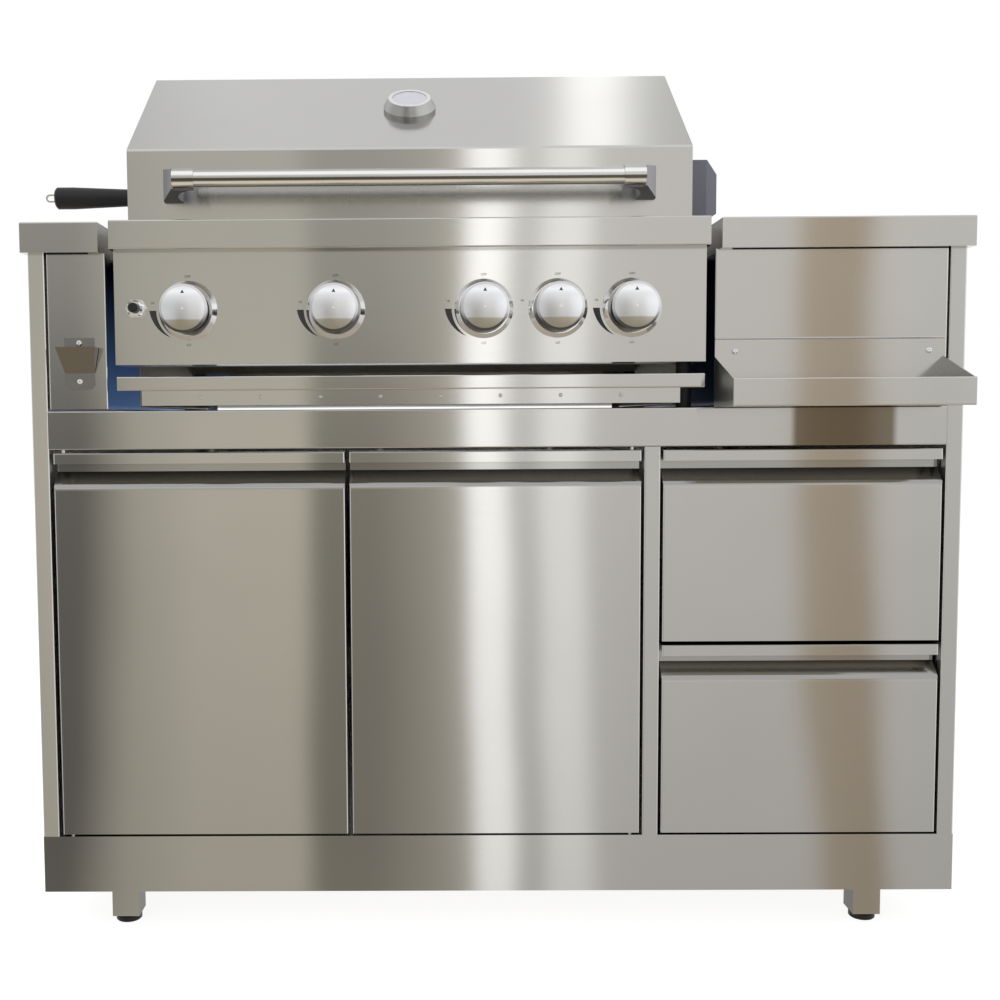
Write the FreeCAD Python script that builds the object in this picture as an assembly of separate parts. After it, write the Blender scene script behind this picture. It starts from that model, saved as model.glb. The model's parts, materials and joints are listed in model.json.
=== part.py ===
"""Gas grill head set in a stainless cabinet, every piece a separate solid, in millimetres.

Modelling frame: X from the cabinet's middle, Y from the posts' front face towards the back, Z from the
floor. The export moves every piece so that the origin lies under the middle of the whole part.
"""
import FreeCAD, Part
import math
import os

Vec = FreeCAD.Vector

# Cabinet
sheet = 1.2                      # stainless sheet of cabinet, doors and grill head
bend_radius = 2.0                # outside radius of the folds
cabinet_depth = 620.0
floor_gap = 62.0                 # floor to the skirt's lower edge
skirt_height = 78.0
post_width = 22.0
post_depth = 26.0                # return of the posts behind their front face
rear_return = 20.0
rail_flange = 30.0
door_height = 526.0
door_gap_below = 3.0
door_gap_above = 4.0
rail_height = 52.5
panel_gap = 2.5                  # front panels to rail and posts
front_panel_height = 207.0
left_bay = 81.5                  # left post to the opening that holds the grill head
right_bay = 311.5                # that opening to the right post
door_bay = 802.0                 # left post to the centre post
rear_shelf = 108.0               # top flange of the back panel, behind the grill head
vent_height = 50.0               # opening of the back panel under the grill head
vent_drop = 10.0                 # its lower edge below the rail's top
vent_inset = 40.0                # its ends inside the opening's
panel_flange = 22.0              # flange of the opening walls under the counters
ledge_width = 16.0               # ledge that carries the grill head
ledge_drop = 5.0                 # ledge below the counters' underside
panel_joggle = 20.0              # front panels' outer tabs behind the posts' face
ledge_setback = 10.0             # ledge's front behind the firebox's

# Counters
counter_height = 40.0
counter_overhang = 12.0          # past the posts at the front
counter_end_overhang = 6.0
counter_inset = 6.0              # counters stop short of the opening walls
counter_hem = 14.0

# Legs and levelling feet
leg_side = 38.0
leg_wall = 2.0
leg_end_plate = 3.0
leg_end_inset = 101.0            # legs' middle from the cabinet's ends
leg_inset = 40.0                 # front and rear faces of the legs behind the skirt
foot_height = 10.0
foot_radius = 18.0
foot_edge = 1.5
foot_wall = 7.0
foot_shoulder = 4.0
foot_stem_radius = 5.0
foot_stem_length = 30.0

# Doors and drawers
door_depth = 25.0
side_gap = 5.0                   # to the outer posts
post_gap = 3.5                   # to the centre post
meeting_gap = 6.0                # between the doors
pull_lip = 15.0
pull_throat = 31.0               # finger gap below the lip
pull_depth = 20.0
pull_bend = 12.0                 # outside radius where the face turns into the throat
liner_inset = 2.0
liner_border = 40.0
liner_rise = 6.0
hinge_pin_radius = 3.0
hinge_clearance = 0.05
hinge_from_edge = 12.0
hinge_from_front = 8.0
hinge_pin_reach = 12.0
hinge_pin_entry = 2.0            # upper pins into the doors
drawer_gap = 5.0
drawer_length = 480.0
drawer_wall_height = 170.0
drawer_rise = 12.0               # box above the drawer front's lower edge
runner_width = 9.6
runner_height = 36.0
runner_length = 470.0
runner_lift = 60.0               # runner above the box's floor
runner_gap = 0.4
runner_setback = 4.0             # runners behind the posts
rail_lip = 4.0
drawer_box_gap = 17.0            # box side to the opening's side

# Grill head, whose width follows from the knobs' pitch
knob_pitch = 98.0
panel_pitches = 8                # control panel's width in knob pitches
panel_side_gap = 14.5            # control panel to the opening's walls
trim_overlap = 1.5               # trim past the control panel's ends
firebox_inset = 16.0             # firebox's inside from the control panel's ends
trim_height = 38.0
trim_front = -30.0
trim_drop = 1.0                  # trim's top below the counters
panel_front = -12.0
panel_height = 150.0
panel_return = 42.0
firebox_front = 60.0
firebox_depth = 370.0
firebox_lift = 2.0               # firebox's lower edge above the front panels'
back_wall_lift = 60.0
ear_length = 52.0                # ears that carry the lid's pins, behind the back wall
ear_rise = 20.0                  # ears above the lid's pivot
head_flange = 26.0
grate_ledge_drop = 34.0          # ledges below the trim's top
tamer_ledge_drop = 90.0
ledge_depth = 16.0
jet_hole_clearance = 4.0

# Drip tray
tray_side_gap = 16.0             # tray to the firebox's sides
tray_ledge_overlap = 10.0        # ledges under the tray
tray_lip_inset = 1.0             # lip from the control panel's ends
tray_front = -5.0
tray_lip_front = -12.0
tray_wall_height = 20.0
tray_lip_height = 19.0
tray_back_gap = 6.0
tray_gap = 0.6

# Knobs, bezels and valves
main_steps = (-3, -1, 1, 3)      # main burners, in knob pitches from the middle
rear_step = 2                    # knob of the rear burner
knob_steps = sorted(main_steps + (rear_step,))
knob_above_panel_foot = 71.5
bezel_radius = 39.0
bezel_front_radius = 33.6
bezel_bore = 33.0
bezel_height = 9.0
bezel_edge = 1.5
knob_radius = 31.5
knob_back_radius = 27.5
knob_back = 5.0                  # knob's back in front of the panel
knob_rim = 34.0                  # widest ring in front of the panel
knob_rim_width = 1.5
knob_height = 41.0
knob_stem_radius = 3.0
knob_stem_reach = 22.0           # stem's end behind the panel
stem_hole_radius = 7.0
valve_radius = 12.0
valve_front = 12.0               # valve's front behind the panel
valve_length = 30.0
valve_block = 22.0
plug_radius = 6.0
plug_length = 23.0
plug_setback = 0.5               # plug's front behind the valve's
socket_depth = 16.0
running_clearance = 0.05
jet_radius = 4.0
jet_length = 14.0
manifold_radius = 10.5
manifold_behind_panel = 57.0
manifold_below_knobs = 35.5
manifold_past_knob = 36.0        # closed end past the first knob
inlet_inset = 17.0               # inlet from the control panel's end
inlet_drop = 132.0
inlet_bend = 30.0
saddle_width = 16.0

# Igniter
igniter_from_knob = 68.5
igniter_rise = 2.5               # above the knobs' middle
igniter_nut_radius = 13.5        # over the corners
igniter_nut_height = 6.0
igniter_collar_radius = 10.5
igniter_collar_height = 15.0
igniter_collar_chamfer = 2.0
igniter_neck_radius = 8.0
igniter_body_radius = 14.0
igniter_body_length = 30.0
button_radius = 6.5
button_proud = 9.0
button_length = 28.0
button_chamfer = 1.5
button_bore_end = 10.0           # bore's end behind the panel's face

# Burners, tamers and grates
burner_radius = 14.0
burner_wall = 1.5
burner_port_count = 6
burner_port_width = 3.0
burner_port_margin = 60.0        # first and last port from the burner's ends
tamer_width = 92.0
tamer_height = 34.0
tamer_gap = 1.0
grate_count = 3
grate_gap = 3.0
grate_end_gap = 2.0
grate_pitch = 19.0
grate_bar = 8.0
grate_cross = 6.0
rear_burner_past_feed = 24.0     # half width past its feed
rear_burner_height = 86.0
rear_burner_depth = 35.0
rear_burner_lift = 23.0          # above the lid's foot
rear_burner_rim = 12.0
rear_burner_margin = 14.0        # back wall above the rear burner
feed_radius = 5.0
feed_bend = 20.0
feed_behind_wall = 30.0

# Lid
lid_side_gap = 5.5               # lid's outside past the firebox's inside
lid_front = 30.0
lid_gap = 3.0                    # above the trim
lid_front_height = 100.0
lid_ridge_back = 195.0           # ridge behind the front
lid_height = 246.0
lid_bend = 5.0                   # outside radius of the lid's folds
lid_pivot_back = 40.0            # pivot behind the firebox's back wall
lid_pivot_rise = 23.0            # pivot above the lid's foot
lid_back_margin = 30.0           # lid's back wall behind the pivot
lid_back_opening = 38.0          # vent between the lid's foot and its back wall
lid_pin_radius = 5.0
lid_pin_reach = 8.0
liner_space = 14.0
spit_slot_width = 38.0
spit_slot_forward = 4.0
spit_slot_over = 12.0
handle_radius = 11.0
handle_sleeve_radius = 13.0
handle_sleeve = 28.0
handle_standoff = 60.0           # bar's axis in front of the lid
handle_rise = 49.0               # bar's axis above the lid's foot
handle_inset = 74.5              # bar's ends from the lid's sides
bracket_base_past = 23.5         # base's outer side past the bar's end
bracket_base_width = 25.7
bracket_side = 10.0              # straight outer side, before the taper
bracket_nose_past = 3.0          # front past the bar's end
bracket_reach = 26.0             # saddle along the bar
bracket_saddle = 6.0             # saddle's front edges behind the bar's axis
bracket_cove_side = 8.0          # straight inner side, before the cove
bracket_cove_bulge = 12.7
bracket_foot = 21.0              # base below the bar's axis
bracket_head = 24.0              # base above the bar's axis

# Thermometer on the lid's slope
gauge_back = 100.0               # behind the lid's front
gauge_radius = 37.0
gauge_top_radius = 30.0
gauge_edge = 5.0
gauge_height = 17.5
dial_radius = 24.5
dial_depth = 4.2
lens_thickness = 1.2
lens_recess = 0.8
needle_thickness = 0.6
needle_length = 19.0
needle_tail = 6.0
needle_half_width = 1.2
needle_half_tip = 0.3
needle_hub = 2.6
needle_lift = 0.5
needle_rest = 120.0              # degrees from straight up, cold end of the scale
probe_radius = 4.0
probe_length = 70.0

# Rotisserie
spit_back = 200.0                # behind the firebox's front
spit_rise = 78.0                 # above the lid's foot
spit_radius = 5.0
grip_length = 132.0
grip_clear = 25.0                # grip to its cradle
grip_outer_radius = 16.5
grip_inner_radius = 12.0
grip_straight = 27.0             # before the taper
grip_round_over = 2.5
eye_reach = 16.5                 # loop past the grip
eye_radius = 5.0
eye_wire = 1.2
cradle_clear = 6.0               # cradle and motor plate to the lid's sides
cradle_thickness = 3.0
cradle_width = 40.0
cradle_side = 12.0
motor_width = 76.0
motor_height = 83.0
motor_depth = 90.0
motor_chamfer = 20.0
motor_chamfer_drop = 18.0
motor_chamfer_run = 19.0
motor_foot_drop = 6.5
motor_plate = 1.5
motor_plate_inset = 10.0
motor_hole_radius = 8.0
motor_hole_depth = 16.0
rod_end_gap = 2.0
fork_offset = 150.0
fork_collar_radius = 12.0
fork_collar_length = 20.0
fork_span = 60.0
fork_arm = 10.0
fork_arm_thickness = 4.0
tine_radius = 3.0
tine_length = 90.0

# Rack and bottle opener on the front panels
rack_gap = 0.25                  # rack to the front panel's inner end
rack_end_inset = 4.5             # rack to the front panel's outer end
rack_drop = 2.5                  # rack's foot below the front panel's
rack_bead = 1.6                  # radius of the rolled edges
rack_depth = 100.0
rack_lip = 34.0
rack_back_height = 91.0
rack_side_height = 67.0
opener_from_opening = 36.5       # opener's middle from the opening
opener_plate_width = 40.0
opener_plate_height = 69.0
opener_plate_z = 26.0            # above the front panel's foot
opener_corner = 10.0
opener_hood_top = 52.0
opener_hood_depth = 24.0
opener_hood_low = 22.0           # hood's lower and upper ends above the plate's foot
opener_hood_high = 56.0
opener_sheet = 2.0

# Places that follow from the sizes above
panel_width = panel_pitches * knob_pitch
opening_width = panel_width + 2 * panel_side_gap
firebox_width = panel_width - 2 * firebox_inset
trim_width = panel_width + 2 * trim_overlap
lid_width = firebox_width + 2 * lid_side_gap
cabinet_width = left_bay + opening_width + right_bay + 2 * post_width
half_width = cabinet_width / 2
post_inner = half_width - post_width
head_x = -post_inner + left_bay + opening_width / 2
center_post_left = -post_inner + door_bay
center_post_right = center_post_left + post_width
left_opening_edge = head_x - opening_width / 2
right_opening_edge = head_x + opening_width / 2
opening_wall_end = cabinet_depth - sheet - rear_shelf
skirt_top = floor_gap + skirt_height
door_foot = skirt_top + door_gap_below
door_top = door_foot + door_height
rail_foot = door_top + door_gap_above
rail_top = rail_foot + rail_height
panel_foot = rail_top + panel_gap
counter_foot = panel_foot + front_panel_height
counter_top = counter_foot + counter_height
head_flange_z = counter_foot - ledge_drop
trim_top = counter_top - trim_drop
trim_foot = trim_top - trim_height
control_foot = trim_foot - panel_height
panel_back = panel_front + sheet
tray_ledge = tray_side_gap + tray_ledge_overlap
tray_half_width = firebox_width / 2 - tray_side_gap
tray_lip_half_width = panel_width / 2 - tray_lip_inset
firebox_back = firebox_front + firebox_depth
firebox_floor = panel_foot + firebox_lift
firebox_rim = trim_top - sheet
grate_ledge_z = trim_top - grate_ledge_drop
tamer_ledge_z = trim_top - tamer_ledge_drop
knob_z = control_foot + knob_above_panel_foot
knob_positions = [head_x + step * knob_pitch for step in knob_steps]
main_positions = [head_x + step * knob_pitch for step in main_steps]
rear_knob = head_x + rear_step * knob_pitch
rear_burner_width = 2 * (rear_step * knob_pitch + rear_burner_past_feed)
igniter_x = knob_positions[0] - igniter_from_knob
igniter_z = knob_z + igniter_rise
valve_start = panel_front + valve_front
valve_block_start = valve_start + valve_length
jet_end = valve_block_start + valve_block + jet_length
lid_foot = trim_top + lid_gap
lid_top = lid_foot + lid_height
lid_ridge = lid_front + lid_ridge_back
lid_pivot_y = firebox_back + lid_pivot_back
lid_pivot_z = lid_foot + lid_pivot_rise
lid_back = lid_pivot_y + lid_back_margin
handle_half_length = lid_width / 2 - handle_inset
handle_y = lid_front - handle_standoff
handle_z = lid_foot + handle_rise
spit_y = firebox_front + spit_back
spit_z = lid_foot + spit_rise
cradle_x = head_x - lid_width / 2 - cradle_clear - cradle_thickness
motor_left = head_x + lid_width / 2 + cradle_clear
motor_right = motor_left + motor_width
grip_inner_end = cradle_x - grip_clear
grip_outer_end = grip_inner_end - grip_length
rear_burner_z = lid_foot + rear_burner_lift


def box(x0, x1, y0, y1, z0, z1):
    return Part.makeBox(x1 - x0, y1 - y0, z1 - z0, Vec(x0, y0, z0))


def cylinder(radius, start, direction, length):
    return Part.makeCylinder(radius, length, Vec(*start), Vec(*direction))


def fuse(shapes):
    joined = shapes[0].fuse(shapes[1:]) if len(shapes) > 1 else shapes[0]
    return joined.removeSplitter()


def cut(shape, tools):
    return shape.cut(tools if len(tools) > 1 else tools[0])


def placed(point, axis, at):
    """A point of a flat outline, seen along the axis, as a point in space."""
    a, b = point
    return {"x": Vec(at, a, b), "y": Vec(a, at, b), "z": Vec(a, b, at)}[axis]


def outline_face(outline, axis, at):
    """A closed outline as a face. A pair of points in one entry is an arc: its middle and its end."""
    edges = []
    here = outline[0]
    for step in outline[1:] + outline[:1]:
        is_arc = isinstance(step[0], tuple)
        goal = step[1] if is_arc else step
        if math.dist(here, goal) > 1e-6:
            ends = [placed(here, axis, at), placed(goal, axis, at)]
            if is_arc:
                edges.append(Part.Arc(ends[0], placed(step[0], axis, at), ends[1]).toShape())
            else:
                edges.append(Part.LineSegment(*ends).toShape())
        here = goal
    return Part.Face(Part.Wire(edges))


def prism(outline, axis, start, end):
    """A closed outline, carried along an axis."""
    face = outline_face(outline, axis, start)
    return face.extrude(placed((0, 0), axis, end) - placed((0, 0), axis, start))


def bend(before, corner, after, radius):
    """Start, middle and end of the arc that rounds a corner."""
    back = (before - corner).normalize()
    on = (after - corner).normalize()
    half = back.getAngle(on) / 2
    reach = radius / math.tan(half)
    to_arc = radius / math.sin(half) - radius
    return corner + back * reach, corner + (back + on).normalize() * to_arc, corner + on * reach


def rounded(points, corners, radius):
    """A closed outline with some of its corners, given by number, turned into arcs."""
    outline = []
    for i, corner in enumerate(points):
        if i in corners:
            before, after = points[i - 1], points[(i + 1) % len(points)]
            arc = bend(Vec(*before), Vec(*corner), Vec(*after), radius)
            start, middle, end = [(v.x, v.y) for v in arc]
            outline += [start, (middle, end)]
        else:
            outline.append(corner)
    return outline


def offset(path, distance):
    """The path moved to its left by a distance, with mitred corners."""
    moved = []
    normals = []
    for (a0, b0), (a1, b1) in zip(path, path[1:]):
        length = math.hypot(a1 - a0, b1 - b0)
        normals.append((-(b1 - b0) / length, (a1 - a0) / length))
    for i, (a, b) in enumerate(path):
        before = normals[max(i - 1, 0)]
        after = normals[min(i, len(normals) - 1)]
        scale = distance / (1 + before[0] * after[0] + before[1] * after[1])
        moved.append((a + (before[0] + after[0]) * scale, b + (before[1] + after[1]) * scale))
    return moved


def fold(path, axis, start, end, thickness=sheet):
    """Folded sheet: an open path, thickened to its left, with its outer corners rounded, along an axis."""
    outline = path + offset(path, thickness)[::-1]
    outer = []
    for i in range(1, len(path) - 1):
        (a0, b0), (a1, b1), (a2, b2) = path[i - 1:i + 2]
        turns_left = (a1 - a0) * (b2 - b1) > (b1 - b0) * (a2 - a1)
        outer.append(i if turns_left else len(outline) - 1 - i)
    return prism(rounded(outline, outer, bend_radius), axis, start, end)


def revolve(profile, base, axis):
    """An outline of (radius, height) pairs turned round an axis through a base point."""
    solid = outline_face(profile, "y", 0).revolve(Vec(0, 0, 0), Vec(0, 0, 1), 360)
    turn = FreeCAD.Rotation(Vec(0, 0, 1), Vec(*axis))
    solid.Placement = FreeCAD.Placement(Vec(*base), turn)
    return solid


def pipe(points, radius, bend_at_corners):
    """Round bar along straight runs, with one bend radius at every corner."""
    points = [Vec(*p) for p in points]
    edges = []
    here = points[0]
    for before, corner, after in zip(points, points[1:], points[2:]):
        start, middle, end = bend(before, corner, after, bend_at_corners)
        edges.append(Part.LineSegment(here, start).toShape())
        edges.append(Part.Arc(start, middle, end).toShape())
        here = end
    edges.append(Part.LineSegment(here, points[-1]).toShape())
    section = Part.Wire(Part.makeCircle(radius, points[0], points[1] - points[0]))
    return Part.Wire(edges).makePipeShell([section], True, False)


def mirrored(shape, x):
    return shape.mirror(Vec(x, 0, 0), Vec(1, 0, 0))


pieces = {}


def cabinet_shell():
    left, front, back = -half_width, 0, cabinet_depth
    section = [
        (left + rear_return, back),
        (left, back),
        (left, front),
        (-post_inner, front),
        (-post_inner, post_depth),
    ]
    side = fold(section, "z", skirt_top, counter_foot)
    pieces["left_side_panel"] = side
    pieces["right_side_panel"] = mirrored(side, 0)
    back_face = cabinet_depth - sheet
    back_path = [
        (back_face - rear_shelf, counter_foot),
        (back_face, counter_foot),
        (back_face, skirt_top),
    ]
    inner = half_width - sheet
    vent_foot = rail_top - vent_drop
    vent = box(left_opening_edge + vent_inset, right_opening_edge - vent_inset,
               back_face - 2 * sheet, cabinet_depth, vent_foot, vent_foot + vent_height)
    pieces["back_panel"] = cut(fold(back_path[::-1], "x", -inner, inner), [vent])
    outer_box = box(-half_width, half_width, 0, cabinet_depth, floor_gap, skirt_top)
    hollow = box(-inner, inner, sheet, cabinet_depth - sheet, floor_gap - 1, skirt_top - sheet)
    pieces["base_pan"] = outer_box.cut(hollow)
    divider = [
        (center_post_left, cabinet_depth - 2 * sheet),
        (center_post_left, 0),
        (center_post_right, 0),
        (center_post_right, post_depth),
    ]
    pieces["center_divider"] = fold(divider, "z", skirt_top, rail_foot)
    rail = [(rail_flange, rail_foot), (0, rail_foot), (0, rail_top), (rail_flange, rail_top)]
    pieces["front_rail"] = fold(rail[::-1], "x", -post_inner, post_inner)


def front_panel(edge, post_side):
    """Front sheet and opening wall beside the grill head, with the ledge that carries the head."""
    out = 1 if post_side > edge else -1
    outer = post_side - out * panel_gap
    section = [
        (post_side, panel_joggle),
        (outer, panel_joggle),
        (outer, 0),
        (edge, 0),
        (edge, opening_wall_end),
    ]
    if out > 0:
        section.reverse()
    walls = fold(section, "z", panel_foot, counter_foot - sheet)
    flange_x = sorted((edge, edge + out * panel_flange))
    flange = box(*flange_x, 0, opening_wall_end, counter_foot - sheet, counter_foot)
    ledge_x = sorted((edge, edge - out * ledge_width))
    ledge_start = firebox_front + ledge_setback
    ledge = box(*ledge_x, ledge_start, firebox_back, head_flange_z - sheet, head_flange_z)
    return fuse([walls, flange, ledge])


def counter(x0, x1):
    """Counter folded down on four sides, with a hem turned in along its lower edge."""
    y0, y1 = -counter_overhang, cabinet_depth
    front_view = [(x0, counter_foot), (x0, counter_top), (x1, counter_top), (x1, counter_foot)]
    side_view = [(y0, counter_foot), (y0, counter_top), (y1, counter_top), (y1, counter_foot)]
    body = prism(rounded(front_view, (1, 2), bend_radius), "y", y0, y1)
    body = body.common(prism(rounded(side_view, (1, 2), bend_radius), "x", x0, x1))
    hollow = box(x0 + sheet, x1 - sheet, y0 + sheet, y1 - sheet, counter_foot + sheet, counter_top - sheet)
    mouth = box(x0 + counter_hem, x1 - counter_hem, y0 + counter_hem, y1 - counter_hem,
                counter_foot - 1, counter_foot + 2 * sheet)
    return body.cut([hollow, mouth])


def cabinet_top():
    pieces["left_front_panel"] = front_panel(left_opening_edge, -post_inner)
    pieces["right_front_panel"] = front_panel(right_opening_edge, post_inner)
    end = half_width + counter_end_overhang
    pieces["left_counter"] = counter(-end, left_opening_edge - counter_inset)
    pieces["right_counter"] = counter(right_opening_edge + counter_inset, end)


def rack_and_opener():
    x0, x1 = right_opening_edge + rack_gap, post_inner - panel_gap - rack_end_inset
    foot = panel_foot - rack_drop
    path = [(0, foot + rack_back_height), (0, foot), (-rack_depth, foot), (-rack_depth, foot + rack_lip)]
    shelf = fold(path[::-1], "x", x0, x1)
    cheek = [
        (0, foot),
        (0, foot + rack_side_height),
        (-rack_depth, foot + rack_lip),
        (-rack_depth, foot),
    ]
    cheeks = [prism(cheek, "x", x0, x0 + sheet), prism(cheek, "x", x1 - sheet, x1)]
    beads = [
        cylinder(rack_bead, (x0, -rack_bead, foot + rack_back_height), (1, 0, 0), x1 - x0),
        cylinder(rack_bead, (x0, rack_bead - rack_depth, foot + rack_lip), (1, 0, 0), x1 - x0),
    ]
    pieces["tool_rack"] = fuse([shelf] + cheeks + beads)

    middle = left_opening_edge - opener_from_opening
    z0 = panel_foot + opener_plate_z
    half = opener_plate_width / 2
    plate = box(middle - half, middle + half, -opener_sheet, 0, z0, z0 + opener_plate_height)
    lower_edges = [e for e in plate.Edges if e.BoundBox.ZMax < z0 + 1 and e.BoundBox.YLength > 1]
    plate = plate.makeFillet(opener_corner, lower_edges)
    low, high = z0 + opener_hood_low, z0 + opener_hood_high
    slope = [(-opener_sheet, low), (-opener_hood_depth, high)]
    top_half = opener_hood_top / 2
    side_view = [slope[0], slope[1], (-opener_sheet, high)]
    wedge = prism(side_view, "x", middle - top_half, middle + top_half)
    front_view = [
        (middle - half, low),
        (middle + half, low),
        (middle + top_half, high),
        (middle - top_half, high),
    ]
    wedge = wedge.common(prism(front_view, "y", -opener_hood_depth - 1, 0))
    inner_side = [
        (-opener_sheet, low + 3 * opener_sheet),
        (-opener_hood_depth + 1.5 * opener_sheet, high + 1),
        (-opener_sheet, high + 1),
    ]
    inset = 1.2 * opener_sheet
    inner_front = [
        (middle - half + inset, low),
        (middle + half - inset, low),
        (middle + top_half - inset, high + 1),
        (middle - top_half + inset, high + 1),
    ]
    pocket = prism(inner_side, "x", middle - top_half, middle + top_half)
    pocket = pocket.common(prism(inner_front, "y", -opener_hood_depth - 1, 0))
    pieces["bottle_opener"] = fuse([plate, wedge.cut(pocket)])


def legs_and_feet():
    legs = []
    feet = []
    half = leg_side / 2
    near, far = leg_inset + half, cabinet_depth - leg_inset - half
    leg_top = skirt_top - sheet
    leg_x = half_width - leg_end_inset
    for x in (-leg_x, leg_x):
        for y in (near, far):
            tube = box(x - half, x + half, y - half, y + half, foot_height, leg_top)
            core = half - leg_wall
            bore = box(x - core, x + core, y - core, y + core, foot_height + leg_end_plate, leg_top)
            hole = cylinder(foot_stem_radius, (x, y, foot_height - 1), (0, 0, 1), leg_end_plate + 2)
            legs.append(cut(tube, [bore, hole]))
            profile = [
                (0, 0),
                (foot_radius - foot_edge, 0),
                (foot_radius, foot_edge),
                (foot_radius, foot_wall),
                (foot_radius - foot_shoulder, foot_height),
                (foot_stem_radius, foot_height),
                (foot_stem_radius, foot_height + foot_stem_length),
                (0, foot_height + foot_stem_length),
            ]
            feet.append(revolve(profile, (x, y, 0), (0, 0, 1)))
    pieces["leg_posts"] = Part.makeCompound(legs)
    pieces["levelling_feet"] = Part.makeCompound(feet)


def pull_front(x0, x1, z0, z1):
    """Folded front of a door or drawer, hollow behind, with a finger pull along its top."""
    throat_top = z1 - pull_lip
    face_top = throat_top - pull_throat
    outline = [
        (0, z0),
        (0, face_top),
        (pull_depth, face_top + pull_depth),
        (pull_depth, z1),
        (door_depth, z1),
        (door_depth, z0),
    ]
    body = prism(rounded(outline, (1,), pull_bend), "x", x0, x1)
    inner_path = offset([(door_depth + 1, z0)] + outline[:4] + [(pull_depth, z1 + 1)], -sheet)
    inner = [
        (door_depth + 1, z0 + sheet),
        (sheet, z0 + sheet),
        inner_path[2],
        inner_path[3],
        (pull_depth + sheet, z1 - sheet),
        (door_depth + 1, z1 - sheet),
    ]
    void = rounded(inner, (2,), pull_bend - sheet)
    body = body.cut(prism(void, "x", x0 + sheet, x1 - sheet))
    hook = [(pull_depth, z1), (0, z1), (0, throat_top)]
    plan = [(x0, door_depth), (x0, 0), (x1, 0), (x1, door_depth)]
    edges = prism(rounded(plan, (1, 2), bend_radius), "z", z0, z1)
    return fuse([body, fold(hook, "x", x0, x1)]).common(edges)


def doors():
    left_edge = -post_inner + side_gap
    right_edge = center_post_left - post_gap
    width = (right_edge - left_edge - meeting_gap) / 2
    hinges = {"left": left_edge + hinge_from_edge, "right": right_edge - hinge_from_edge}
    spans = {"left": (left_edge, left_edge + width), "right": (right_edge - width, right_edge)}
    pins = []
    for name, (x0, x1) in spans.items():
        skin = pull_front(x0, x1, door_foot, door_top)
        axis = (hinges[name], hinge_from_front)
        hole = hinge_pin_radius + hinge_clearance
        holes = [
            cylinder(hole, (*axis, door_foot - 1), (0, 0, 1), hinge_pin_reach),
            cylinder(hole, (*axis, door_top - sheet - 1), (0, 0, 1), hinge_pin_reach),
        ]
        pieces[name + "_door_skin"] = cut(skin, holes)
        back = door_depth
        plate = box(x0 + liner_inset, x1 - liner_inset, back, back + sheet,
                    door_foot + liner_inset, door_top - liner_inset)
        pan = [
            (x0 + liner_border, back),
            (x0 + liner_border + liner_rise, back + liner_rise),
            (x1 - liner_border - liner_rise, back + liner_rise),
            (x1 - liner_border, back),
        ]
        low, high = door_foot + liner_border, door_top - 2 * liner_border
        dish = prism(pan, "z", low, high)
        dent = prism(offset(pan, -sheet), "z", low + sheet, high - sheet)
        pieces[name + "_door_liner"] = fuse([plate, dish]).cut(dent)
        pins.append(cylinder(hinge_pin_radius, (*axis, skirt_top), (0, 0, 1), hinge_pin_reach))
        top_pin = rail_foot - door_top + hinge_pin_entry
        pins.append(cylinder(hinge_pin_radius, (*axis, rail_foot), (0, 0, -1), top_pin))
    lid_half = firebox_width / 2 + sheet
    for side in (-1, 1):
        start = (head_x + side * lid_half, lid_pivot_y, lid_pivot_z)
        pins.append(cylinder(lid_pin_radius, start, (side, 0, 0), lid_pin_reach))
    pieces["hinge_pins"] = Part.makeCompound(pins)


def drawers():
    x0 = center_post_right + post_gap
    x1 = post_inner - post_gap
    height = (door_height - drawer_gap) / 2
    box_left, box_right = center_post_right + drawer_box_gap, post_inner - drawer_box_gap
    feet = {"lower": door_foot, "upper": door_foot + height + drawer_gap}
    rails = []
    for name, foot in feet.items():
        pieces[name + "_drawer_front"] = pull_front(x0, x1, foot, foot + height)
        floor = foot + drawer_rise
        back = door_depth + drawer_length
        body = box(box_left, box_right, door_depth, back, floor, floor + drawer_wall_height)
        hollow = box(box_left + sheet, box_right - sheet, door_depth + sheet, back - sheet,
                     floor + sheet, floor + drawer_wall_height + 1)
        pieces[name + "_drawer_box"] = body.cut(hollow)
        low = floor + runner_lift
        start = post_depth + runner_setback
        end = start + runner_length
        web_end = box_left - runner_width
        high = low + runner_height
        runner_path = [(box_left, low), (web_end, low), (web_end, high), (box_left, high)]
        runner = fold(runner_path[::-1], "y", start, end)
        web = web_end - runner_gap
        rail_low, rail_high = low - rail_lip, high + rail_lip
        wall = center_post_left + sheet
        rail_path = [(wall, rail_low), (web, rail_low), (web, rail_high), (wall, rail_high)]
        rail = fold(rail_path, "y", start, end)
        far_wall = half_width - sheet
        middle = (box_left + box_right) / 2
        far_web = 2 * middle - web
        far_path = [(far_wall, rail_low), (far_web, rail_low), (far_web, rail_high), (far_wall, rail_high)]
        rails += [rail, fold(far_path[::-1], "y", start, end)]
        pieces[name + "_drawer_runners"] = Part.makeCompound([runner, mirrored(runner, middle)])
    pieces["drawer_rails"] = Part.makeCompound(rails)


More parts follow.
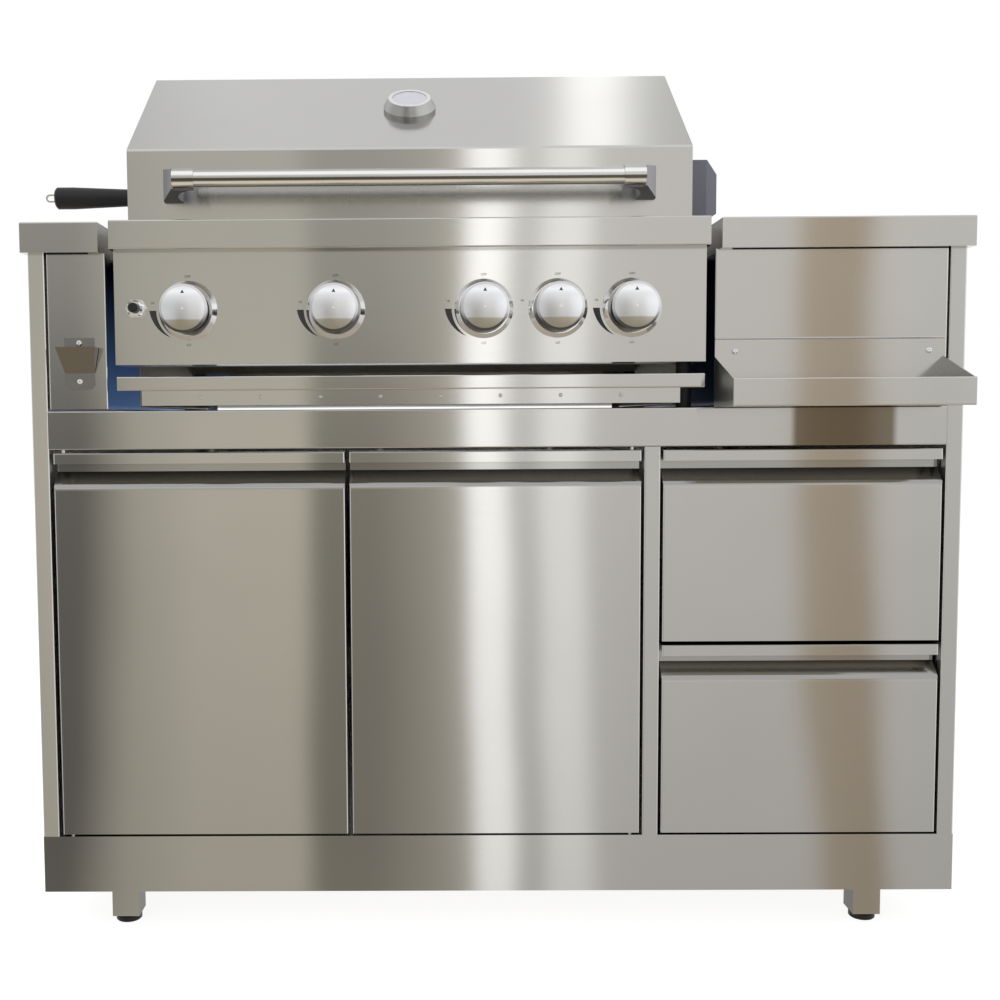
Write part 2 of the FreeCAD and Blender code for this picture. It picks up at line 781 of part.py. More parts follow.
def grill_head():
    half = firebox_width / 2
    outer = half + sheet
    wing = panel_width / 2
    ear_top = lid_pivot_z + ear_rise
    ear_back = firebox_back + ear_length
    side_view = [
        (firebox_front, firebox_floor),
        (firebox_front, firebox_rim),
        (firebox_back, firebox_rim),
        (firebox_back, ear_top),
        (ear_back, ear_top),
        (ear_back, head_flange_z),
        (firebox_back + sheet, head_flange_z - ear_length / 2),
        (firebox_back + sheet, firebox_floor),
    ]
    walls = []
    for side in (-1, 1):
        ends = sorted((head_x + side * half, head_x + side * outer))
        walls.append(prism(side_view, "x", *ends))
        ends = sorted((head_x + side * outer, head_x + side * (outer + head_flange)))
        walls.append(box(*ends, firebox_front, firebox_back, head_flange_z, head_flange_z + sheet))
        ends = sorted((head_x + side * half, head_x + side * (half - tray_ledge)))
        walls.append(box(*ends, firebox_front, firebox_back, firebox_floor, firebox_floor + sheet))
    walls.append(box(head_x - wing, head_x + wing, firebox_front, firebox_front + sheet,
                     control_foot, firebox_rim))
    walls.append(box(head_x - half, head_x + half, firebox_back, firebox_back + sheet,
                     firebox_floor + back_wall_lift, rear_burner_z + rear_burner_height + rear_burner_margin))
    for z in (tamer_ledge_z, grate_ledge_z):
        walls.append(box(head_x - half, head_x + half, firebox_front + sheet,
                         firebox_front + sheet + ledge_depth, z - sheet, z))
        walls.append(box(head_x - half, head_x + half, firebox_back - ledge_depth, firebox_back,
                         z - sheet, z))
    cradle = box(cradle_x, cradle_x + cradle_thickness, spit_y - cradle_width / 2, spit_y + cradle_width / 2,
                 head_flange_z + sheet, spit_z + cradle_side)
    notch_radius = spit_radius + running_clearance
    notch = fuse([
        cylinder(notch_radius, (cradle_x - 1, spit_y, spit_z), (1, 0, 0), cradle_thickness + 2),
        box(cradle_x - 1, cradle_x + cradle_thickness + 1, spit_y - notch_radius, spit_y + notch_radius,
            spit_z, spit_z + cradle_side + 1),
    ])
    walls.append(cradle.cut(notch))
    jet_hole = jet_radius + jet_hole_clearance
    holes = [cylinder(jet_hole, (x, firebox_front - 1, knob_z), (0, 1, 0), sheet + 2)
             for x in knob_positions]
    for z in (knob_z, rear_burner_z + rear_burner_height / 2):
        holes.append(cylinder(feed_radius, (rear_knob, firebox_back - 1, z), (0, 1, 0), sheet + 2))
    pieces["firebox"] = cut(fuse(walls), holes)

    trim_half = trim_width / 2
    path = [
        (panel_back, trim_foot),
        (trim_front, trim_foot),
        (trim_front, trim_top),
        (firebox_front + sheet, trim_top),
    ]
    trim = fold(path[::-1], "x", head_x - trim_half, head_x + trim_half)
    cap = [
        (trim_front, trim_foot),
        (trim_front, trim_top),
        (firebox_front, trim_top),
        (firebox_front, trim_top - trim_height / 2),
        (panel_back, trim_foot),
    ]
    caps = [
        prism(rounded(cap, (0, 1), bend_radius), "x", head_x - trim_half, head_x - trim_half + sheet),
        prism(rounded(cap, (0, 1), bend_radius), "x", head_x + trim_half - sheet, head_x + trim_half),
    ]
    pieces["front_trim"] = fuse([trim] + caps)

    face = box(head_x - wing, head_x + wing, panel_front, panel_back, control_foot, trim_foot)
    foot = box(head_x - wing, head_x + wing, panel_front, panel_front + panel_return,
               control_foot, control_foot + sheet)
    cheeks = [
        box(head_x - wing, head_x - wing + sheet, panel_front, firebox_front, control_foot, trim_foot),
        box(head_x + wing - sheet, head_x + wing, panel_front, firebox_front, control_foot, trim_foot),
    ]
    holes = [cylinder(stem_hole_radius, (x, panel_front - 1, knob_z), (0, 1, 0), sheet + 2)
             for x in knob_positions]
    neck_start = (igniter_x, panel_front - 1, igniter_z)
    holes.append(cylinder(igniter_neck_radius, neck_start, (0, 1, 0), sheet + 2))
    pieces["control_panel"] = cut(fuse([face, foot] + cheeks), holes)


def drip_tray():
    floor = firebox_floor + sheet + tray_gap
    top = floor + tray_wall_height
    back = firebox_back - tray_back_gap
    body = box(head_x - tray_half_width, head_x + tray_half_width, tray_front, back, floor, top)
    hollow = box(head_x - tray_half_width + sheet, head_x + tray_half_width - sheet, tray_front + sheet,
                 back - sheet, floor + sheet, top + 1)
    lip_top = top + tray_lip_height
    path = [
        (tray_front + sheet, top),
        (tray_lip_front, top),
        (tray_lip_front, lip_top),
        (tray_front, lip_top),
    ]
    lip = fold(path[::-1], "x", head_x - tray_lip_half_width, head_x + tray_lip_half_width)
    pieces["drip_tray"] = fuse([body.cut(hollow), lip])


def knobs_and_valves():
    bezels = []
    valves = []
    manifold_y = panel_front + manifold_behind_panel
    manifold_z = knob_z - manifold_below_knobs
    dome_height = knob_height - knob_rim
    dome_radius = (knob_radius ** 2 + dome_height ** 2) / (2 * dome_height)
    half_arc = math.asin(knob_radius / dome_radius) / 2
    dome_middle = (dome_radius * math.sin(half_arc), knob_height - dome_radius * (1 - math.cos(half_arc)))
    for number, x in enumerate(knob_positions, 1):
        ring = [
            (bezel_bore, 0),
            (bezel_radius, 0),
            (bezel_radius, bezel_edge),
            (bezel_front_radius, bezel_height),
            (bezel_bore, bezel_height),
        ]
        bezels.append(revolve(ring, (x, panel_front, knob_z), (0, -1, 0)))
        dome = [
            (0, -knob_stem_reach),
            (knob_stem_radius, -knob_stem_reach),
            (knob_stem_radius, knob_back),
            (knob_back_radius, knob_back),
            (knob_radius, knob_rim - knob_rim_width),
            (knob_radius, knob_rim),
            (dome_middle, (0, knob_height)),
        ]
        pieces["knob_%d" % number] = revolve(dome, (x, panel_front, knob_z), (0, -1, 0))
        bore = plug_radius + running_clearance
        body = fuse([
            cylinder(valve_radius, (x, valve_start, knob_z), (0, 1, 0), valve_length),
            box(x - valve_radius, x + valve_radius, valve_block_start, valve_block_start + valve_block,
                knob_z - valve_radius, knob_z + valve_radius),
            cylinder(jet_radius, (x, jet_end - jet_length, knob_z), (0, 1, 0), jet_length),
            box(x - saddle_width / 2, x + saddle_width / 2, manifold_y - saddle_width / 2,
                manifold_y + saddle_width / 2, manifold_z, knob_z),
        ])
        pipe_bore = cylinder(manifold_radius, (x - valve_radius - 1, manifold_y, manifold_z), (1, 0, 0),
                             2 * valve_radius + 2)
        plug_bore = cylinder(bore, (x, valve_start - 1, knob_z), (0, 1, 0), plug_setback + plug_length + 2)
        valves.append(cut(body, [pipe_bore, plug_bore]))
        plug = cylinder(plug_radius, (x, valve_start + plug_setback, knob_z), (0, 1, 0), plug_length)
        socket = cylinder(knob_stem_radius + running_clearance, (x, valve_start, knob_z), (0, 1, 0),
                          socket_depth)
        pieces["valve_plug_%d" % number] = plug.cut(socket)
    pieces["knob_bezels"] = Part.makeCompound(bezels)
    pieces["gas_valves"] = Part.makeCompound(valves)

    turn_x = head_x + panel_width / 2 - inlet_inset
    route = [
        (knob_positions[0] - manifold_past_knob, manifold_y, manifold_z),
        (turn_x, manifold_y, manifold_z),
        (turn_x, manifold_y, manifold_z - inlet_drop),
    ]
    pieces["gas_manifold"] = pipe(route, manifold_radius, inlet_bend)


def igniter():
    bore = button_radius + running_clearance
    housing = [
        (bore, igniter_collar_height),
        (bore, -button_bore_end),
        (0, -button_bore_end),
        (0, -igniter_body_length),
        (igniter_body_radius, -igniter_body_length),
        (igniter_body_radius, -sheet),
        (igniter_neck_radius, -sheet),
        (igniter_neck_radius, 0),
        (igniter_collar_radius, 0),
        (igniter_collar_radius, igniter_collar_height - igniter_collar_chamfer),
        (igniter_collar_radius - igniter_collar_chamfer, igniter_collar_height),
    ]
    hexagon = []
    for i in range(6):
        angle = i * math.pi / 3
        hexagon.append((igniter_x + igniter_nut_radius * math.cos(angle),
                        igniter_z + igniter_nut_radius * math.sin(angle)))
    nut = prism(hexagon, "y", panel_front - igniter_nut_height, panel_front)
    nut = nut.cut(cylinder(bore, (igniter_x, panel_front, igniter_z), (0, -1, 0), igniter_nut_height))
    body = revolve(housing, (igniter_x, panel_front, igniter_z), (0, -1, 0))
    pieces["igniter_housing"] = fuse([body, nut])
    tip = igniter_collar_height + button_proud
    button = [
        (0, tip - button_length),
        (button_radius, tip - button_length),
        (button_radius, tip - button_chamfer),
        (button_radius - button_chamfer, tip),
        (0, tip),
    ]
    pieces["igniter_button"] = revolve(button, (igniter_x, panel_front, igniter_z), (0, -1, 0))


def burners_and_grates():
    start, end = firebox_front + sheet, firebox_back
    burners = []
    tamers = []
    for x in main_positions:
        tube = cylinder(burner_radius, (x, start, knob_z), (0, 1, 0), end - start)
        bore = cylinder(burner_radius - burner_wall, (x, start, knob_z), (0, 1, 0),
                        end - start - burner_wall)
        spacing = (end - start - 2 * burner_port_margin) / (burner_port_count - 1)
        ports = []
        for i in range(burner_port_count):
            y = start + burner_port_margin + i * spacing
            ports.append(box(x - burner_radius, x + burner_radius, y, y + burner_port_width,
                             knob_z, knob_z + burner_radius / 2))
        burners.append(tube.cut([bore] + ports))
        half = tamer_width / 2
        peak = [(x - half, tamer_ledge_z), (x, tamer_ledge_z + tamer_height), (x + half, tamer_ledge_z)]
        tamers.append(fold(peak, "y", start + tamer_gap, end - tamer_gap))
    pieces["main_burners"] = Part.makeCompound(burners)
    pieces["flame_tamers"] = Part.makeCompound(tamers)

    usable = firebox_width - 2 * grate_gap
    width = (usable - (grate_count - 1) * grate_gap) / grate_count
    bar_foot = grate_ledge_z + grate_cross
    front, back = start + grate_end_gap, end - grate_end_gap
    grates = []
    for i in range(grate_count):
        x0 = head_x - usable / 2 + i * (width + grate_gap)
        count = int(width // grate_pitch)
        step = (width - grate_bar) / count
        bars = [box(x0, x0 + width, y, y + grate_bar, grate_ledge_z, bar_foot)
                for y in (front, back - grate_bar)]
        for j in range(count + 1):
            left = x0 + j * step
            bars.append(box(left, left + grate_bar, front, back, bar_foot, bar_foot + grate_bar))
        grates.append(fuse(bars))
    pieces["cooking_grates"] = Part.makeCompound(grates)

    half = rear_burner_width / 2
    front = firebox_back - rear_burner_depth
    top = rear_burner_z + rear_burner_height
    case = box(head_x - half, head_x + half, front, firebox_back, rear_burner_z, top)
    rim = rear_burner_rim
    mouth = box(head_x - half + rim, head_x + half - rim, front - 1, front + rim,
                rear_burner_z + rim, top - rim)
    middle_z = rear_burner_z + rear_burner_height / 2
    behind = firebox_back + feed_behind_wall
    route = [
        (rear_knob, jet_end, knob_z),
        (rear_knob, behind, knob_z),
        (rear_knob, behind, middle_z),
        (rear_knob, firebox_back, middle_z),
    ]
    pieces["rear_burner"] = Part.makeCompound([case.cut(mouth), pipe(route, feed_radius, feed_bend)])


def lid_outline():
    fold_z = lid_foot + lid_front_height
    return [
        (lid_front, lid_foot),
        (lid_front, fold_z),
        (lid_ridge, lid_top),
        (lid_back, lid_top),
        (lid_back, lid_foot),
    ]


def slope_frame():
    """Unit vectors along and out of the lid's slope, and the thermometer's centre on it."""
    outline = lid_outline()
    (y0, z0), (y1, z1) = outline[1], outline[2]
    length = math.hypot(y1 - y0, z1 - z0)
    along = (y1 - y0) / length, (z1 - z0) / length
    out = (0, -along[1], along[0])
    center = (head_x, y0 + gauge_back, z0 + gauge_back * along[1] / along[0])
    return center, out


def lid():
    half = lid_width / 2
    outline = lid_outline()
    body = prism(rounded(outline, (1, 2, 3), lid_bend), "x", head_x - half, head_x + half)
    inner = offset(outline, -sheet)
    inner = [(inner[0][0], lid_foot - 1)] + inner[1:-1] + [(inner[-1][0], lid_foot - 1)]
    shell = body.cut(prism(inner, "x", head_x - half + sheet, head_x + half - sheet))
    rear_mouth = box(head_x - half + sheet, head_x + half - sheet, lid_back - 2 * sheet, lid_back + 1,
                     lid_foot - 1, lid_foot + lid_back_opening)
    slot_y = spit_y - spit_slot_forward
    slot = box(head_x - half - 1, head_x + half + 1,
               slot_y - spit_slot_width / 2, slot_y + spit_slot_width / 2,
               lid_foot - 1, spit_z + spit_slot_over)
    pin_hole = cylinder(lid_pin_radius + hinge_clearance, (head_x - half - 1, lid_pivot_y, lid_pivot_z),
                        (1, 0, 0), lid_width + 2)
    center, out = slope_frame()
    inward = tuple(-v for v in out)
    probe_hole = cylinder(probe_radius, center, inward, probe_length)
    probe_hole.translate(Vec(*out))
    pieces["lid_shell"] = cut(shell, [rear_mouth, slot, pin_hole, probe_hole])
    liner_path = offset(outline[:4], -liner_space)
    liner_path[0] = (liner_path[0][0], lid_foot + liner_space)
    liner_path[3] = (lid_back - liner_space, liner_path[3][1])
    liner = fold(liner_path[::-1], "x", head_x - half + sheet, head_x + half - sheet)
    pieces["lid_liner"] = cut(liner, [probe_hole])

    bar = [
        (0, -handle_half_length),
        (handle_sleeve_radius, -handle_half_length),
        (handle_sleeve_radius, -handle_half_length + handle_sleeve),
        (handle_radius, -handle_half_length + handle_sleeve),
        (handle_radius, handle_half_length - handle_sleeve),
        (handle_sleeve_radius, handle_half_length - handle_sleeve),
        (handle_sleeve_radius, handle_half_length),
        (0, handle_half_length),
    ]
    pieces["handle_bar"] = revolve(bar, (head_x, handle_y, handle_z), (1, 0, 0))
    end = head_x + handle_half_length
    outer = end + bracket_base_past
    inner = outer - bracket_base_width
    cove = [(end - bracket_reach, handle_y + bracket_saddle), (inner, lid_front - bracket_cove_side)]
    run, rise = cove[1][0] - cove[0][0], cove[1][1] - cove[0][1]
    bulge = bracket_cove_bulge / math.hypot(run, rise)
    cove_middle = ((cove[0][0] + cove[1][0]) / 2 + rise * bulge, (cove[0][1] + cove[1][1]) / 2 - run * bulge)
    plan = [
        (outer, lid_front),
        (outer, lid_front - bracket_side),
        (end + bracket_nose_past, handle_y),
        (end, handle_y),
        (end, handle_y + bracket_saddle),
        cove[0],
        (cove_middle, cove[1]),
        (inner, lid_front),
    ]
    side_view = [
        (lid_front, handle_z - bracket_foot),
        (handle_y, handle_z - handle_sleeve_radius),
        (handle_y, handle_z + handle_sleeve_radius),
        (lid_front, handle_z + bracket_head),
    ]
    bracket = prism(plan, "z", handle_z - bracket_foot, handle_z + bracket_head)
    bracket = bracket.common(prism(side_view, "x", end - bracket_reach, outer))
    sleeve_start = (end - handle_sleeve, handle_y, handle_z)
    bracket = bracket.cut(cylinder(handle_sleeve_radius, sleeve_start, (1, 0, 0), handle_sleeve))
    brackets = [bracket, mirrored(bracket, head_x)]
    pieces["handle_brackets"] = Part.makeCompound(brackets)


def thermometer():
    center, out = slope_frame()
    dial_z = gauge_height - dial_depth
    housing = [
        (0, -probe_length),
        (probe_radius, -probe_length),
        (probe_radius, 0),
        (gauge_radius, 0),
        (gauge_radius, gauge_edge),
        (gauge_top_radius, gauge_height),
        (dial_radius, gauge_height),
        (dial_radius, dial_z),
        (0, dial_z),
    ]
    pieces["gauge_housing"] = revolve(housing, center, out)
    lens_top = gauge_height - lens_recess
    lens_foot = lens_top - lens_thickness
    lens = [(0, lens_foot), (dial_radius, lens_foot), (dial_radius, lens_top), (0, lens_top)]
    pieces["gauge_lens"] = revolve(lens, center, out)
    foot = dial_z + needle_lift
    hub = cylinder(needle_hub, (0, 0, foot), (0, 0, 1), 2 * needle_thickness)
    blade = [
        (-needle_half_width, -needle_tail),
        (needle_half_width, -needle_tail),
        (needle_half_tip, needle_length),
        (-needle_half_tip, needle_length),
    ]
    tip = prism(blade, "z", foot, foot + needle_thickness)
    needle = fuse([hub, tip])
    turn = FreeCAD.Rotation(Vec(0, 0, 1), Vec(*out)) * FreeCAD.Rotation(Vec(0, 0, 1), needle_rest)
    needle.Placement = FreeCAD.Placement(Vec(*center), turn)
    pieces["gauge_needle"] = needle


def rotisserie():
    socket_end = motor_left + motor_hole_depth - rod_end_gap
    rod = cylinder(spit_radius, (grip_outer_end, spit_y, spit_z), (1, 0, 0), socket_end - grip_outer_end)
    far = grip_outer_end - eye_reach + eye_radius + eye_wire
    near = grip_outer_end - eye_radius
    loops = []
    for radius in (eye_radius + eye_wire, eye_radius - eye_wire):
        loop = [box(far, near, spit_y - eye_wire, spit_y + eye_wire, spit_z - radius, spit_z + radius)]
        for x in (far, near):
            loop.append(cylinder(radius, (x, spit_y - eye_wire, spit_z), (0, 1, 0), 2 * eye_wire))
        loops.append(fuse(loop))
    pieces["spit_rod"] = fuse([rod, loops[0]]).cut(loops[1])
    length = grip_inner_end - grip_outer_end
    grip = [
        (spit_radius, 0),
        (grip_outer_radius - grip_round_over, 0),
        (grip_outer_radius, grip_round_over),
        (grip_outer_radius, grip_straight),
        (grip_inner_radius, length),
        (spit_radius, length),
    ]
    pieces["spit_grip"] = revolve(grip, (grip_outer_end, spit_y, spit_z), (1, 0, 0))

    forks = []
    for side in (-1, 1):
        x = head_x + side * fork_offset
        back = x + side * fork_collar_length
        collar = cylinder(fork_collar_radius, (min(x, back), spit_y, spit_z), (1, 0, 0), fork_collar_length)
        arm_x = sorted((x, x + side * fork_arm_thickness))
        arm = box(*arm_x, spit_y - fork_span / 2, spit_y + fork_span / 2,
                  spit_z - fork_arm / 2, spit_z + fork_arm / 2)
        tines = []
        for y in (spit_y - fork_span / 2 + fork_arm / 2, spit_y + fork_span / 2 - fork_arm / 2):
            tines.append(cylinder(tine_radius, (x, y, spit_z), (-side, 0, 0), tine_length))
        bore_start = (x - 2 * fork_collar_length, spit_y, spit_z)
        bore = cylinder(spit_radius, bore_start, (1, 0, 0), 4 * fork_collar_length)
        forks.append(fuse([collar, arm] + tines).cut(bore))
    pieces["spit_forks"] = Part.makeCompound(forks)

    low, high = spit_z - motor_height / 2, spit_z + motor_height / 2
    section = [
        (motor_left, low),
        (motor_right - motor_chamfer_run, low),
        (motor_right, low + motor_foot_drop),
        (motor_right, high - motor_chamfer_drop),
        (motor_right - motor_chamfer_run, high),
        (motor_left, high),
    ]
    y0, y1 = spit_y - motor_depth / 2, spit_y + motor_depth / 2
    case = prism(section, "y", y0, y1)
    plan = [
        (motor_left, y0),
        (motor_right - motor_chamfer, y0),
        (motor_right, y0 + motor_chamfer),
        (motor_right, y1 - motor_chamfer),
        (motor_right - motor_chamfer, y1),
        (motor_left, y1),
    ]
    case = case.common(prism(plan, "z", low, high))
    socket = cylinder(motor_hole_radius, (motor_left - motor_plate - 1, spit_y, spit_z), (1, 0, 0),
                      motor_plate + motor_hole_depth + 1)
    plate = box(motor_left - motor_plate, motor_left, y0 + motor_plate_inset, y1 - motor_plate_inset,
                head_flange_z + sheet, high - motor_plate_inset)
    pieces["rotisserie_motor"] = cut(fuse([case, plate]), [socket])


cabinet_shell()
cabinet_top()
rack_and_opener()
legs_and_feet()
doors()
drawers()
grill_head()
drip_tray()
knobs_and_valves()
igniter()
burners_and_grates()
lid()
thermometer()
rotisserie()

# The origin lies on the floor, under the middle of the whole part.
reach_left = grip_outer_end - eye_reach
reach_right = half_width + counter_end_overhang
to_origin = Vec(-(reach_left + reach_right) / 2, -(cabinet_depth - rack_depth) / 2, 0)
os.makedirs("parts", exist_ok=True)
for name, shape in pieces.items():
    moved = shape.copy()
    moved.translate(to_origin)
    moved.exportStep("parts/%s.step" % name)
print(len(pieces), "pieces, moved by", tuple(round(v, 3) for v in to_origin))
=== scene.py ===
import json
import math

import bpy
import numpy as np
from mathutils import Matrix, Vector


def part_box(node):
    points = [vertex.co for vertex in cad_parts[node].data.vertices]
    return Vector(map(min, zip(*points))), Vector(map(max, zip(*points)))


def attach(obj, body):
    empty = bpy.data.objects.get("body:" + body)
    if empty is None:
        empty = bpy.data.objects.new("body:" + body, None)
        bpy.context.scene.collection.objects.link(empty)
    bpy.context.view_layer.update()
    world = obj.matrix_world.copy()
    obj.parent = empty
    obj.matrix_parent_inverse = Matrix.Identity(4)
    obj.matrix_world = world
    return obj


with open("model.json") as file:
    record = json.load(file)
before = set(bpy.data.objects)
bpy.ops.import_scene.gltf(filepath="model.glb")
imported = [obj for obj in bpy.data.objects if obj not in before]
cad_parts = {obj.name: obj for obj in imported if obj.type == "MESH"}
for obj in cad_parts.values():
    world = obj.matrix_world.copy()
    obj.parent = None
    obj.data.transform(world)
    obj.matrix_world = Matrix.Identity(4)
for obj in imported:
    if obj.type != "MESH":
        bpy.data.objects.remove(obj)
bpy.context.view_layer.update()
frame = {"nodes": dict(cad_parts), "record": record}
nodes = frame["nodes"]
scene = bpy.context.scene
scene.view_settings.view_transform = "Standard"
print("frame:", len(nodes), "nodes")


class Wire:
    # one shader output; + - * > and abs() on it add Math nodes to the same tree
    def __init__(self, tree, socket):
        self.tree = tree
        self.socket = socket

    def math(self, operation, *terms):
        node = self.tree.nodes.new("ShaderNodeMath")
        node.operation = operation
        for i, term in enumerate(terms):
            if isinstance(term, Wire):
                self.tree.links.new(term.socket, node.inputs[i])
            else:
                node.inputs[i].default_value = term
        return Wire(self.tree, node.outputs[0])

    def __add__(self, other):
        return self.math("ADD", self, other)

    def __sub__(self, other):
        return self.math("SUBTRACT", self, other)

    def __rsub__(self, other):
        return self.math("SUBTRACT", other, self)

    def __mul__(self, other):
        return self.math("MULTIPLY", self, other)

    def __abs__(self):
        return self.math("ABSOLUTE", self)

    def __gt__(self, other):
        return self.math("GREATER_THAN", self, other)

    __radd__ = __add__
    __rmul__ = __mul__


class Tree:
    # a node tree being wired up; what its methods return are Wires
    def __init__(self, owner):
        owner.use_nodes = True
        self.tree = owner.node_tree
        self.tree.nodes.clear()

    def node(self, kind, settings=None, sockets=None, out=0):
        node = self.tree.nodes.new(kind)
        for key, value in (settings or {}).items():
            if key == "stops":
                self.setStops(node.color_ramp, value)
            else:
                setattr(node, key, value)
        for key, value in (sockets or {}).items():
            if isinstance(value, Wire):
                self.tree.links.new(value.socket, node.inputs[key])
            else:
                node.inputs[key].default_value = value
        return Wire(self.tree, node.outputs[out]) if len(node.outputs) else node

    def setStops(self, ramp, stops):
        ramp.elements.remove(ramp.elements[1])
        ramp.elements[0].position = stops[0][0]
        ramp.elements[0].color = (*stops[0][1], 1)
        for place, colour in stops[1:]:
            ramp.elements.new(place).color = (*colour, 1)

    def axes(self, vector):
        split = self.tree.nodes.new("ShaderNodeSeparateXYZ")
        self.tree.links.new(vector.socket, split.inputs[0])
        return [Wire(self.tree, output) for output in split.outputs]

    def here(self):
        return self.node("ShaderNodeTexCoord", out="Object")

    def facing(self):
        return self.axes(self.node("ShaderNodeTexCoord", out="Normal"))

    def noise(self, place, scale, detail=2.0, roughness=0.5):
        return self.node("ShaderNodeTexNoise", {}, {
            "Vector": place, "Scale": scale, "Detail": detail, "Roughness": roughness})

    def blend(self, factor, first, second):
        return self.node("ShaderNodeMix", {"data_type": "RGBA"}, {
            0: factor, 6: first, 7: second}, out=2)

    def between(self, value, low, high, smooth=False, bottom=0.0, top=1.0):
        # value taken from low..high to bottom..top
        kind = "SMOOTHSTEP" if smooth else "LINEAR"
        return self.node("ShaderNodeMapRange", {"interpolation_type": kind}, {
            "Value": value, "From Min": low, "From Max": high, "To Min": bottom, "To Max": top})

    def bump(self, height, distance, normal=None):
        sockets = {"Height": height, "Distance": distance, "Strength": 1.0}
        if normal:
            sockets["Normal"] = normal
        return self.node("ShaderNodeBump", {}, sockets)


def newFinish(name):
    material = bpy.data.materials.new(name)
    return material, Tree(material)


def closeFinish(t, shader):
    t.node("ShaderNodeOutputMaterial", {}, {"Surface": shader})


# brushed sheet: long fine lines along the sheet, faint hand marks, and the slow waviness of thin
# panels; upright faces spread their reflections up and down, the sloped, flat and side ones evenly
sheetLook = {
    "tone": (0.64, 0.635, 0.614), "shade": (0.53, 0.524, 0.50), "lineTone": 0.25, "markTone": 0.4,
    "roughness": 0.095, "flatRoughness": 0.15, "sideRoughness": 0.2, "grain": 0.015, "flatGrain": 0.5,
    "spread": 1.0, "spreadTurn": 0.25, "levelFrom": 0.9, "slopeFrom": 0.3, "sideFrom": 0.8,
    "lineLength": 3.0, "linePitch": 2600.0, "lineDepth": 0.000004,
    "marks": 5.0, "wave": 2.6, "waveDepth": 0.0012, "lean": 0.0,
}
lidLook = dict(sheetLook, roughness=0.12)
# blue film on the faces behind the front, round the control panel, with a painted glow as emission; the
# painted glow is strongest low on the film and less and less from the left gap to the right one
filmLook = dict(
    sheetLook, film=(0.03, 0.055, 0.13), filmPaintedGlow=(0.040, 0.078, 0.175), filmBehind=-0.2585,
    filmFrom=0.72, filmTo=0.93, filmMiddle=-0.09, filmHalf=0.412, glowDimFrom=-0.3, glowDimTo=0.25, filmDim=0.03)
# the left post leans a little to the brighter side of the room
postLook = dict(filmLook, lean=-46.0)
# finger pulls: painted shade in the throat behind the front, deeper with its depth, and on what faces up
pullLook = dict(sheetLook, throatFrom=-0.252, throatTo=-0.236, throatShade=0.36,
                topFrom=0.05, topTo=0.35, topShade=0.4)
# legs: painted shade on their inner and outer sides, which are in the shade of the base
legLook = dict(sheetLook, sideShade=0.86)
# the rail carries a painted brown reflection below the rack: its ends along the rail, soft edge and tone
railLook = dict(filmLook, reflectionFrom=0.422, reflectionTo=0.558, reflectionSoft=0.006, reflectionTone=(0.235, 0.20, 0.155))
noGlow = (0, 0, 0, 1)
# near black that the painted shade blends towards
paintedShadeTone = (0.02, 0.02, 0.02, 1)


def filmOver(t, look, at, colour):
    x, y, z = at
    behind = (y > look["filmBehind"]) * (z > look["filmFrom"]) * (1 - (z > look["filmTo"]))
    behind = behind * (1 - (abs(x - look["filmMiddle"]) > look["filmHalf"]))
    # painted glow: it grows towards the film's foot and dims towards the right
    glowFade = t.between(z, look["filmTo"], look["filmFrom"])
    aside = t.between(x, look["glowDimFrom"], look["glowDimTo"], bottom=1.0, top=look["filmDim"])
    paintedGlow = t.blend(behind * glowFade * glowFade * aside, noGlow, (*look["filmPaintedGlow"], 1))
    return t.blend(behind, colour, (*look["film"], 1)), paintedGlow


def shadeOver(t, look, at, facing, colour):
    # painted shade on pulls and legs, and the painted brown reflection on the rail
    x, y, z = at
    nx, ny, nz = facing
    if "throatShade" in look:
        depth = t.between(y, look["throatFrom"], look["throatTo"])
        top = t.between(nz, look["topFrom"], look["topTo"])
        colour = t.blend(depth * look["throatShade"] + top * look["topShade"], colour, paintedShadeTone)
    if "sideShade" in look:
        colour = t.blend((abs(nx) > look["sideFrom"]) * look["sideShade"], colour, paintedShadeTone)
    # painted brown reflection across the rail below the rack
    if "reflectionTone" in look:
        middle = (look["reflectionFrom"] + look["reflectionTo"]) / 2
        half = (look["reflectionTo"] - look["reflectionFrom"]) / 2
        soft = look["reflectionSoft"]
        inReflection = t.between(abs(x - middle), half + soft, half - soft, smooth=True)
        colour = t.blend(inReflection, colour, (*look["reflectionTone"], 1))
    return colour


